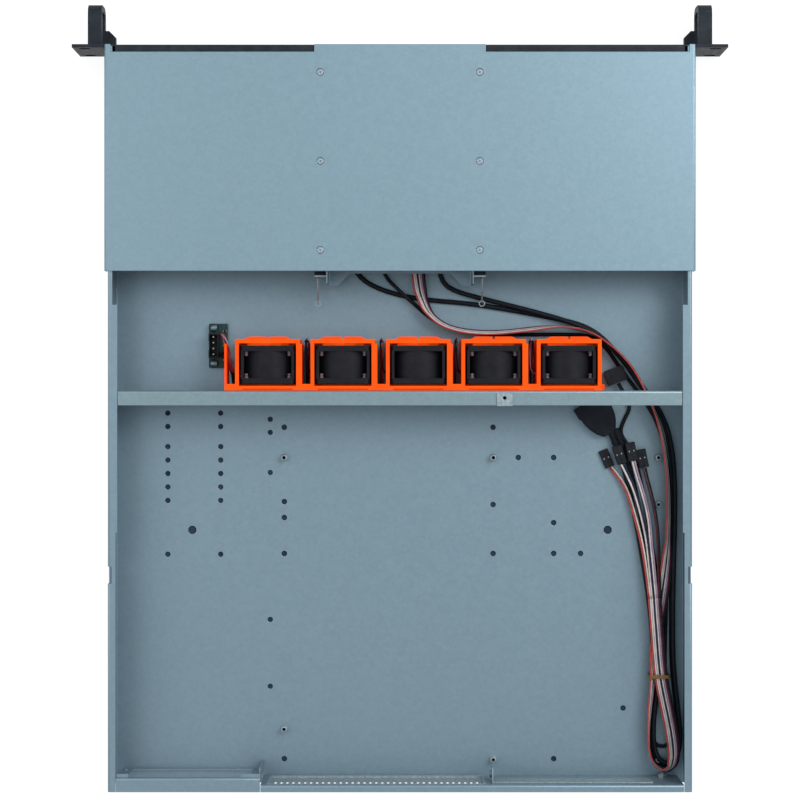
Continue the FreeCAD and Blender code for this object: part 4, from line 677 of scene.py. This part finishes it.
def fan_lead(number, route, colours):
    """Three thin wires of a fan's lead, wound loosely round each other."""
    line = centreline(route, 10)
    pairs = sideways(line)
    shape = bmesh.new()
    total = len(line) - 1
    for n in range(len(colours)):
        strand = []
        for k, (point, (across, rise)) in enumerate(zip(line, pairs)):
            share = k / total
            loose = 0.62 + 0.85 * math.sin(math.pi * share) ** 2
            angle = 2 * math.pi * (n / len(colours) + 0.8 * share)
            strand.append(point + (across * math.cos(angle) + rise * math.sin(angle)) * loose * MM)
        tube(shape, strand, WIRE_D / 2 * MM, 8, n)
    thing = piece(f"fan_lead_wires_{number}", shape, colours, "chassis", ["fan_leads"])


# ---------------------------------------------------------------- plugs on the cords

PANEL_PLUG_SIZE = (7.2, 14.0, 2.8)
HOOD_PLACE = (-142.0, -12.8, 6.3)
HOOD_TURN = 32.4
AUDIO_PLUG_PLACE = (-161.8, -31.8, 8)
AUDIO_PLUG_TURN = 20
PIN_PITCH = 2.54
BOOT_REACH = 0.015
BOOT_STEP = 0.0031
TIE_CORNER_R = 0.0022
TIE_T = 0.00075


def panel_plug(number, end, turn):
    """A crimp housing: a block with latch windows and the contacts that show in them; its pin mouths are dark
    patches of painted shade on the ribs.
    """
    width, length, thick = PANEL_PLUG_SIZE
    angle = math.radians(turn)
    back = length / 2 + 0.3
    place = standing((end[0] + back * math.sin(angle), end[1] - back * math.cos(angle), end[2]), turn)
    shape = bmesh.new()
    outline_prism(shape, rounded(width / 2, length / 2, 0.5, 3), -thick / 2, thick / 2 - 0.3, place)
    for side in (-1, 1):
        x = side * 1.75
        for low_y, high_y in ((-6.9, -2.2), (1.6, 6.9)):
            middle = (low_y + high_y) / 2
            rib = rectangle(1.35, (high_y - low_y) / 2, x, middle)
            outline_prism(shape, rib, thick / 2 - 0.3, thick / 2 + 0.1, place)
        outline_prism(shape, rectangle(0.34, 0.55, x, -0.4), thick / 2 - 0.31, thick / 2 - 0.1, place, 1)
        # Painted shade: a dark patch on each rib stands for a pin mouth's shadowed opening.
        outline_prism(shape, rectangle(0.5, 0.3, x, -6.2), thick / 2 + 0.1, thick / 2 + 0.24, place, 2)
    return moulded(
        f"panel_plug_body_{number}", shape, ["plastic", "contact", "black_and_painted_shade"],
        [f"panel_plug_{number}"], 0.00018)


def hood_plug():
    """The moulded twenty-pin plug: a head with a rim round its mouth, a waisted body and two cable boots."""
    place = standing(HOOD_PLACE, HOOD_TURN)
    shape = bmesh.new()
    for low, high, x0, x1, y0 in (
            (-4, -1.95, -13.5, 13.5, 0), (1.95, 4, -13.5, 13.5, 0), (-1.95, 1.95, -13.5, -11.45, 0),
            (-1.95, 1.95, 11.45, 13.5, 0), (-1.95, 1.95, -11.45, 11.45, 6)):
        outline_prism(shape, [(x0, y0), (x1, y0), (x1, 9), (x0, 9)], low, high, place)
    span = [
        (12.5, 8.6), (12.4, 12), (11.9, 15.4), (11.0, 18.8), (9.8, 21.8), (8.4, 24.4), (6.9, 26.6),
        (5.6, 28.2), (4.6, 29.2)]
    body = span + [(-x, y) for x, y in reversed(span)]
    loops = []
    for height, inset in ((-3.5, 1.3), (-3.1, 0.5), (-2.3, 0), (0, -0.15), (2.3, 0), (3.1, 0.5), (3.5, 1.3)):
        loop = []
        for x, y in body:
            pull = inset if x > 0 else -inset
            loop.append(shape.verts.new(place @ Vector((x - pull, min(y, 31.3 - max(inset, 0)), height))))
        loops.append(loop)
    for low, high in zip(loops, loops[1:]):
        skin(shape, low, high)
    shape.faces.new(loops[0])
    shape.faces.new(loops[-1])
    for k in range(4):
        outline_prism(shape, rectangle(6.0 - 0.6 * k, 0.4, 0, 15.5 + 2.2 * k), 3.2, 3.72, place)
    for route in (USB_CABLE_A, USB_CABLE_B):
        line = centreline(route)[::-1]
        reach, along = [], 0.0
        for first, second in zip(line, line[1:]):
            reach.append(first)
            along += (second - first).length
            if along > BOOT_REACH:
                break
        heading = (reach[0] - reach[2]).normalized()
        reach = [reach[0] + heading * 2 * BOOT_STEP, reach[0] + heading * BOOT_STEP] + reach
        last = len(reach) - 1
        radii = [(2.6 - 0.6 * k / last + (0.14 if k % 2 else 0)) * MM for k in range(last + 1)]
        tube(shape, reach, radii, 18)
    return moulded("usb3_plug_hood", shape, ["matt"], ["usb3_plug"], 0.0004)


def flat_plug():
    """The audio header plug: a ten-way block with a key, chamfered ends and, at its cable end, dark patches
    of painted shade where its contacts sit.
    """
    place = standing(AUDIO_PLUG_PLACE, AUDIO_PLUG_TURN)
    shape = bmesh.new()
    outline = [(-7.5, -4.4), (-6.2, -5.75), (6.2, -5.75), (7.5, -4.4), (7.5, 5.75), (-7.5, 5.75)]
    outline_prism(shape, outline, -2.8, 2.8, place)
    outline_prism(shape, rectangle(3.75, 2.875, 0, -2.875), 2.8, 3.15, place)
    for k in range(5):
        x = (k - 2) * PIN_PITCH
        # Painted shade: dark patches in place of the dim contacts at the cable end.
        outline_prism(shape, rectangle(0.42, 0.6, x, 3.9), 2.7, 2.84, place, 1)
    return moulded("audio_plug_body", shape, ["plastic", "black_and_painted_shade"], ["audio_plug"], 0.0004)


def tie_strap():
    """The cable tie: a thin strap round the bundle with its small head."""
    low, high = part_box("cable_tie")
    shape = bmesh.new()
    x0, x1, z0, z1 = low.x, high.x, low.z, high.z
    corner = TIE_CORNER_R
    path = []
    for cx, cz, start in ((x1 - corner, z1 - corner, 0), (x0 + corner, z1 - corner, 90),
                          (x0 + corner, z0 + corner, 180), (x1 - corner, z0 + corner, 270)):
        for k in range(6):
            angle = math.radians(start + 18 * k)
            nx, nz = math.cos(angle), math.sin(angle)
            path.append((cx + corner * nx, cz + corner * nz, nx, nz))
    loops = []
    for y in (low.y, high.y):
        for inset in (0, TIE_T):
            loops.append([shape.verts.new((x - nx * inset, y, z - nz * inset)) for x, z, nx, nz in path])
    for a, b in ((0, 1), (1, 3), (3, 2), (2, 0)):
        skin(shape, loops[a], loops[b])
    middle = (low.y + high.y) / 2
    head = Matrix.Translation((x0 + 0.0042, middle, z1 - 0.0008))
    outline_prism(shape, rectangle(0.0023, 0.0012), -0.0014, 0.0007, head)
    piece("cable_tie_strap", shape, ["tie"], "chassis", ["cable_tie"], False)


def make_cords():
    """All cords with what is on their ends, and the tie round the bundle."""
    hood = hood_plug()
    round_cord("usb_cable_a", USB_CABLE_A, USB_D, [hood])
    round_cord("usb_cable_b", USB_CABLE_B, USB_D, [hood])
    round_cord("audio_cable", AUDIO_CABLE, AUDIO_D, [flat_plug()])
    round_cord("fan_harness", FAN_HARNESS, HARNESS_D)
    make_ribbon()
    for number, (route, end, turn, colours) in enumerate(PANEL_LEADS, 1):
        lead_pair(number, route, colours, panel_plug(number, end, turn))
    for number, x in enumerate(FAN_XS, 1):
        route = FIRST_FAN_LEAD if number == 1 else [(x + across, y, z) for across, y, z in FAN_LEAD]
        fan_lead(number, route, FAN_LEAD_COLOURS[number - 1])
    tie_strap()


# ---------------------------------------------------------------- fans and their holders

# Places of the fans and their holders, and sizes of a fan, in mm.
FAN_Z = 21.8
FAN_FRONT = -53.4
FAN_REAR = -25.4
FAN_DEPTH = 28
FLANGE_T = 4
FRAME_HOLE_AT = 16
HOLDER_TOP = 42.4
HOLDER_REAR = -20.4
ROTOR_REAR = -28.9
ROTOR_LENGTH = 21.0
BLADES = 5
BLADE_ROWS = 7
BLADE_STEPS = 10
BLADE_ROOT_R = 8.9
BLADE_REACH = 8.85
BLADE_T = 0.85


def facing(x, y):
    """A place whose own Z points along +Y, on a fan's axis."""
    return standing((x, y, FAN_Z), -90, "X")


def moved_copy(shape, x):
    """A copy of a bmesh, moved along X."""
    copy = shape.copy()
    bmesh.ops.translate(copy, verts=copy.verts, vec=(x * MM, 0, 0))
    return copy


def frame_mesh():
    """One fan frame at X = 0: two flanges on a barrel with a flared bore, struts and a motor cup."""
    front, rear = facing(0, FAN_FRONT), facing(0, FAN_REAR)
    solids = []
    for y in (FAN_FRONT, FAN_REAR - FLANGE_T):
        solids.append(bmesh.new())
        outline_prism(solids[-1], rounded(20, 20, 3.2, 6), 0, FLANGE_T, facing(0, y))
    barrel = bmesh.new()
    lathe(barrel, [(19.96, 0), (19.96, FAN_DEPTH)], front, 96)
    for x in (-18.6, 18.6):
        solids.append(bmesh.new())
        outline_prism(solids[-1], rectangle(1.0, 19.9), 3.5, 24.5, facing(x, FAN_FRONT))
    tools = [bmesh.new()]
    end = FAN_DEPTH
    bore = [(19.3, -1), (19.3, 0), (18.7, 1.6), (18.6, 3), (18.6, 24), (19.2, end), (19.2, end + 1)]
    lathe(tools[0], bore, front, 96)
    for x in (-FRAME_HOLE_AT, FRAME_HOLE_AT):
        for z in (-FRAME_HOLE_AT, FRAME_HOLE_AT):
            tools.append(bmesh.new())
            lathe(tools[-1], [(2.15, -1), (2.15, FAN_DEPTH + 1)], front @ Matrix.Translation((x, z, 0)), 20)
    shape = cut_away(cut_away(barrel, solids, "UNION"), tools)
    cup = [(1.56, -3), (9.2, -3), (9.6, -2.6), (9.6, -0.5), (9.2, 0), (4.4, 0), (4.2, -0.35), (1.56, -0.35)]
    lathe(shape, cup, rear, 48)
    for turn in (0, 90, 180, 270):
        arm = rear @ Matrix.Rotation(math.radians(turn), 4, "Z")
        outline_prism(shape, [(9.2, -1.2), (18.9, -1.5), (18.9, 1.5), (9.2, 1.2)], -2.8, -0.2, arm)
        outline_prism(shape, [(9.2, -0.35), (18.9, -0.35), (18.9, 0.35), (9.2, 0.35)], -0.2, 0, arm)
    return shape


def blade_point(number, share, at, lift):
    """A point of a blade, a share of the way to its tip and from -1 to 1 along its chord."""
    radius = BLADE_ROOT_R + BLADE_REACH * share
    half_s, half_a = 4.0 + 1.3 * share, 6.6 - 1.1 * share
    chord = math.hypot(half_s, half_a)
    bow = 1.5 * (1 - at * at) + lift * (1 - 0.55 * at * at)
    aside = at * half_s + half_a / chord * bow
    axial = -ROTOR_LENGTH / 2 + at * half_a - half_s / chord * bow
    angle = 2 * math.pi * number / BLADES + 0.22 * share + aside / radius
    return Vector((radius * math.cos(angle), radius * math.sin(angle), axial))


def rotor_mesh():
    """One rotor at X = 0: a domed hub on its shaft, and curved blades that twist towards the tip."""
    shape = bmesh.new()
    place = facing(0, ROTOR_REAR)
    end = -ROTOR_LENGTH
    lathe(shape, [
        (0, end), (7.6, end), (8.9, end + 0.35), (9.5, end + 1.2), (9.6, end + 2.2), (9.6, -0.6), (9.2, 0),
        (0, 0)], place, 56)
    lathe(shape, [(0, -0.1), (1.45, -0.1), (1.45, 2.9), (0, 2.9)], place, 24)
    outline_prism(shape, ring(3.4, 40), end - 0.02, end + 0.4, place)

    def strip(one, two):
        for k in range(len(one) - 1):
            shape.faces.new([one[k], one[k + 1], two[k + 1], two[k]])

    for number in range(BLADES):
        low, high = [[[
            shape.verts.new(place @ blade_point(number, row / BLADE_ROWS, k / (BLADE_STEPS / 2) - 1, lift))
            for k in range(BLADE_STEPS + 1)] for row in range(BLADE_ROWS + 1)] for lift in (0.0, BLADE_T)]
        for rows in (low, high):
            for one, two in zip(rows, rows[1:]):
                strip(one, two)
        for row in (0, -1):
            strip(low[row], high[row])
        for k in (0, -1):
            strip([row[k] for row in low], [row[k] for row in high])
    return shape


def holder(number, x):
    """The CAD holder, with the step inside its rim and the thin groove along its rear wall."""
    step_x, step_z = (x - 21.1, x + 21.1), (HOLDER_TOP - 9, HOLDER_TOP + 1)
    groove = slab(
        (x - 18.5, x + 18.5), (HOLDER_REAR - 1.3, HOLDER_REAR - 0.7), (HOLDER_TOP - 2.5, HOLDER_TOP + 1))
    shape = cut_away(cad_mesh(f"fan_holder_{number}"), [
        slab(step_x, (FAN_FRONT - 1.75, FAN_FRONT), step_z), slab(step_x, (FAN_REAR, FAN_REAR + 1.6), step_z),
        groove])
    moulded(
        f"fan_holder_shell_{number}", shape, ["orange"], [f"fan_holder_{number}"], 0.0003)


def make_fans():
    """Five holders, each with a frame that stays and a rotor that turns."""
    frame_shape, rotor_shape = frame_mesh(), rotor_mesh()
    for number, x in enumerate(FAN_XS, 1):
        holder(number, x)
        moulded(
            f"fan_housing_{number}", moved_copy(frame_shape, x), ["fan"],
            [f"fan_frame_{number}"], 0.00025, 50)
        blades = piece(
            f"fan_blades_{number}", moved_copy(rotor_shape, x), ["blade"], f"rotor_{number}",
            [f"fan_rotor_{number}"])
        blades.modifiers.new("creases", "EDGE_SPLIT").split_angle = math.radians(35)
    frame_shape.free()
    rotor_shape.free()


def make_rivets():
    """Push rivets that hold the fans: a ribbed shank with a cone at its end."""
    shape = bmesh.new()
    for low, high in islands("fan_rivets"):
        middle = (low + high) / 2 / MM
        length = (high.y - low.y) / MM
        turn = 180 if middle.y > (FAN_FRONT + FAN_REAR) / 2 else 0
        place = standing(middle, turn) @ Matrix.Rotation(math.radians(-90), 4, "X")
        half = length / 2
        lathe(shape, [
            (1.5, -half), (1.72, -half + 0.3), (1.72, -half + 0.9), (1.25, -half + 1.1), (1.25, half - 1.4),
            (1.6, half - 1.2), (1.5, half - 0.7), (0.8, half)], place, 20)
    moulded("fan_push_rivets", shape, ["rivet"], ["fan_rivets"], 0.00008)


# ---------------------------------------------------------------- fasteners, board and tab

def make_cover_screws():
    """Countersunk screws of the cover; the dark ring under each head and the dark cross on top are painted
    shade.
    """
    shape = bmesh.new()
    for low, high in islands("cover_screws"):
        place, radius, height = upright(low, high)
        cross_head(shape, place, radius, height)
        # Painted shade: a thin dark band round the head for the shadow at its edge.
        lathe(shape, [(radius * 0.99, height * 0.2), (radius * 0.99, height * 0.3)], place, 24, 1)
    moulded("cover_screw_heads", shape, ["boss", "dark_steel"], ["cover_screws"], 0.0001)


def make_small_screws():
    """Pan-head screws on the hub board and at the rear, each along the short side of its CAD solid; the light
    cross on each dark head is a painted highlight.
    """
    shape = bmesh.new()
    for low, high in islands("small_screws"):
        size = (high - low) / MM
        middle = (low + high) / 2 / MM
        if size.x < size.y:
            place, wide, height = standing((low.x / MM, middle.y, middle.z), 90, "Y"), size.y, size.x
        elif size.y < size.x and size.y < size.z:
            place, wide, height = standing((middle.x, low.y / MM, middle.z), -90, "X"), size.x, size.y
        else:
            place, wide, height = standing((middle.x, middle.y, low.z / MM)), size.x, size.z
        # Painted highlight: the light second finish on the cross gives each head its bright centre.
        cross_head(shape, place, wide / 2, height)
    moulded("small_screw_heads", shape, ["dark_steel", "contact"], ["small_screws"], 0.0001)


def make_standoffs():
    """Pressed bosses with a rounded shoulder and a threaded bore; a dark disc deep in each bore is painted
    shade.
    """
    shape = bmesh.new()
    for low, high in islands("board_standoffs"):
        place, radius, height = upright(low, high)
        thread = []
        for down in (0.5 * k for k in range(8)):
            thread += [(1.42, height - 0.55 - down), (1.22, height - 0.8 - down)]
        lathe(shape, [
            (radius, 0), (radius, 0.35), (radius * 0.86, 0.8), (radius * 0.8, height - 0.5),
            (radius * 0.7, height - 0.1), (radius * 0.6, height), (1.55, height), (1.42, height - 0.2),
            *thread, (1.2, height - 4.8)], place, 32)
        # Painted shade: a dark disc at the bottom of the bore.
        lathe(shape, [(1.38, height - 4.7), (1.38, height - 4.6)], place, 20, 1)
    thing = piece("board_bosses", shape, ["boss", "black_and_painted_shade"], "chassis", ["board_standoffs"])
    thing.modifiers.new("creases", "EDGE_SPLIT").split_angle = math.radians(40)


HUB_PIN_PITCH = 4.37
HEADER_WALL = 0.9


def make_hub():
    """The fan hub's lacquered board: spacers and dark rings at its screws, and a row of small parts."""
    low, high = boxed("fan_hub_board")
    shape = bmesh.new()
    top = high.z
    x, y = (low.x + high.x) / 2, (low.y + high.y) / 2
    board = rounded((high.x - low.x) / 2, (high.y - low.y) / 2, 0.6, 3, x, y)
    outline_prism(shape, board, top - 1.6, top - 0.02, IN_MM)
    for head_low, head_high in islands("small_screws"):
        middle = (head_low + head_high) / 2 / MM
        if low.x < middle.x < high.x and low.y < middle.y < high.y:
            place = standing((middle.x, middle.y, 0))
            lathe(shape, [(2.9, low.z), (2.9, top - 1.6)], place, 24, 2)
            lathe(shape, [(3.15, top - 0.02), (3.15, top)], place, 32, 3)
    x = low.x + 2.1
    for k in range(5):
        y = low.y + 5.5 + 5.4 * k
        outline_prism(shape, rectangle(0.85, 0.5, x, y), top - 0.02, top + 0.55, IN_MM, 3)
        for side in (-1, 1):
            outline_prism(shape, rectangle(0.25, 0.55, x + side, y), top - 0.02, top + 0.45, IN_MM, 1)
    moulded(
        "fan_hub_card", shape, ["board", "contact", "plastic", "black_and_painted_shade"], ["fan_hub_board"],
        0.00008)


def make_header():
    """The hub's shrouded header, with a gap in its wall and four square pins."""
    low, high = boxed("hub_header")
    x, y = (low.x + high.x) / 2, (low.y + high.y) / 2
    wall = HEADER_WALL
    shape = slab((low.x, high.x), (low.y, high.y), (low.z, high.z - 0.4))
    shape = cut_away(shape, [
        slab((low.x + wall, high.x - wall), (low.y + wall, high.y - wall), (low.z + 1.5, high.z + 1)),
        slab((high.x - 2, high.x + 1), (y - 3.4, y + 3.4), (low.z + 5.5, high.z + 1))])
    for k in range(4):
        pin_y = y + (k - 1.5) * HUB_PIN_PITCH
        outline_prism(shape, rectangle(0.55, 0.55, x, pin_y), low.z + 1, high.z - 0.6, IN_MM, 1)
        outline_prism(shape, rectangle(0.34, 0.34, x, pin_y), high.z - 0.6, high.z, IN_MM, 1)
    moulded("hub_header_shroud", shape, ["plastic", "contact"], ["hub_header"], 0.0001)


TAB_X = -77.0
TAB_FRONT = -18.6
TAB_HOLE_Y = -14.9


def make_bar_tab():
    """The small bright plate on the bar, with turned-up edges and its screw hole."""
    high = boxed("fan_bar")[1]
    y0, y1, top = TAB_FRONT, high.y + 0.05, high.z
    hole = bmesh.new()
    lathe(hole, [(1.35, top - 2), (1.35, top + 2)], standing((TAB_X, TAB_HOLE_Y, 0)), 28)
    shape = cut_away(slab((TAB_X - 5.6, TAB_X + 5.6), (y0, y1), (top - 0.5, top + 0.12)), [hole])
    for side in (-1, 1):
        edge = rectangle(0.28, (y1 - y0) / 2, TAB_X + side * 5.5, (y0 + y1) / 2)
        outline_prism(shape, edge, top - 0.4, top + 0.36, IN_MM)
    moulded("bar_tab_plate", shape, ["bright"], [], 0.00015)


# ---------------------------------------------------------------- camera, light and floor

CAMERA_PLACE = (0, -0.0134, 1.644)
LENS = 98.0
SENSOR = 36.0
FLOOR_HALF = 6.0
FLOOR_GLOW = 1.12
ROOM_GLOW = 0.74
GLOW_SHARE = 0.8
SHADOW_SHEET_INSET = 0.0015


def make_camera():
    """Straight down on the case, the front of the case at the top of the frame."""
    camera = bpy.data.cameras.new("camera")
    camera.lens = LENS
    camera.sensor_width = SENSOR
    camera.clip_start = 0.01
    camera.clip_end = 50
    thing = added("camera", camera)
    thing.location = CAMERA_PLACE
    thing.rotation_euler = (0, 0, math.pi)
    bpy.context.scene.camera = thing


def sheet(name, x0, x1, y0, y1, level, material):
    """A level rectangle."""
    mesh = bpy.data.meshes.new(name)
    mesh.from_pydata([(x0, y0, level), (x1, y0, level), (x1, y1, level), (x0, y1, level)], [], [(0, 1, 2, 3)])
    mesh.materials.append(material)
    return added(name, mesh)


def make_floor():
    """A wide white floor that glows for the camera and for reflections, and still takes a soft shadow."""
    material = bpy.data.materials.new("floor_white")
    material.use_nodes = True
    tree = material.node_tree
    tree.nodes.clear()

    def combined(operation, first, second):
        node = wired(tree, "Math", first, second)
        node.operation = operation
        return node.outputs[0]

    rays = wired(tree, "LightPath").outputs
    seen = combined("MAXIMUM", rays["Is Camera Ray"], rays["Is Glossy Ray"])
    seen = combined("MAXIMUM", seen, rays["Is Transmission Ray"])
    share = combined("MULTIPLY", seen, GLOW_SHARE)
    matt = wired(tree, "BsdfDiffuse", Color=(0.86, 0.86, 0.86, 1))
    glow = wired(tree, "Emission", Color=(1, 1, 1, 1), Strength=FLOOR_GLOW)
    mix = wired(tree, "MixShader", share, matt.outputs[0], glow.outputs[0])
    wired(tree, "OutputMaterial", Surface=mix.outputs[0])
    half = FLOOR_HALF
    floor = sheet("floor", -half, half, -half, half, CAD_BOX[0][2] - 0.0004, material)


def make_painted_shadow_sheet():
    """A dark sheet of the stage just under the base, painted shadow: it stands in for the shade under the
    case, so that the holes in its floor look dark from above.
    """
    low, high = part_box("chassis_base")
    inset = SHADOW_SHEET_INSET
    # Painted shadow: the dark colour of this sheet stands for the shade under the case.
    dark = dark_plastic("painted_shadow_finish", srgb(30, 46, 56), srgb(44, 60, 70), (0.7, 0.9), 60)
    painted_shadow_sheet = sheet("painted_shadow_sheet", low.x + inset, high.x - inset, low.y + inset, high.y - inset, low.z - 0.0002, dark)


def make_light(name, place, target, size, power):
    """A rectangular lamp that faces a target."""
    light = bpy.data.lights.new(name, "AREA")
    light.shape = "RECTANGLE"
    light.size, light.size_y = size
    light.energy = power
    thing = added(name, light)
    thing.location = place
    thing.rotation_euler = (Vector(target) - Vector(place)).to_track_quat("-Z", "Y").to_euler()


def make_world():
    """An even, slightly cool light from all round."""
    world = bpy.data.worlds.new("room")
    world.use_nodes = True
    back = world.node_tree.nodes["Background"]
    back.inputs["Color"].default_value = (0.95, 0.97, 0.99, 1)
    back.inputs["Strength"].default_value = ROOM_GLOW
    bpy.context.scene.world = world


bpy.context.scene.view_settings.view_transform = "Standard"
make_camera()
make_floor()
make_painted_shadow_sheet()
make_world()
make_light("key", (-1.05, -0.8, 1.45), (-0.05, 0, 0), (1.1, 1.1), 24)
make_light("fill", (1.3, -0.4, 1.8), (0, 0, 0), (1.6, 1.6), 10)

for name, (finish, rounding) in KEPT.items():
    dress(name, finish, rounding)
make_cords()
make_fans()
make_rivets()
make_cover_screws()
make_small_screws()
make_standoffs()
make_hub()
make_header()
make_bar_tab()
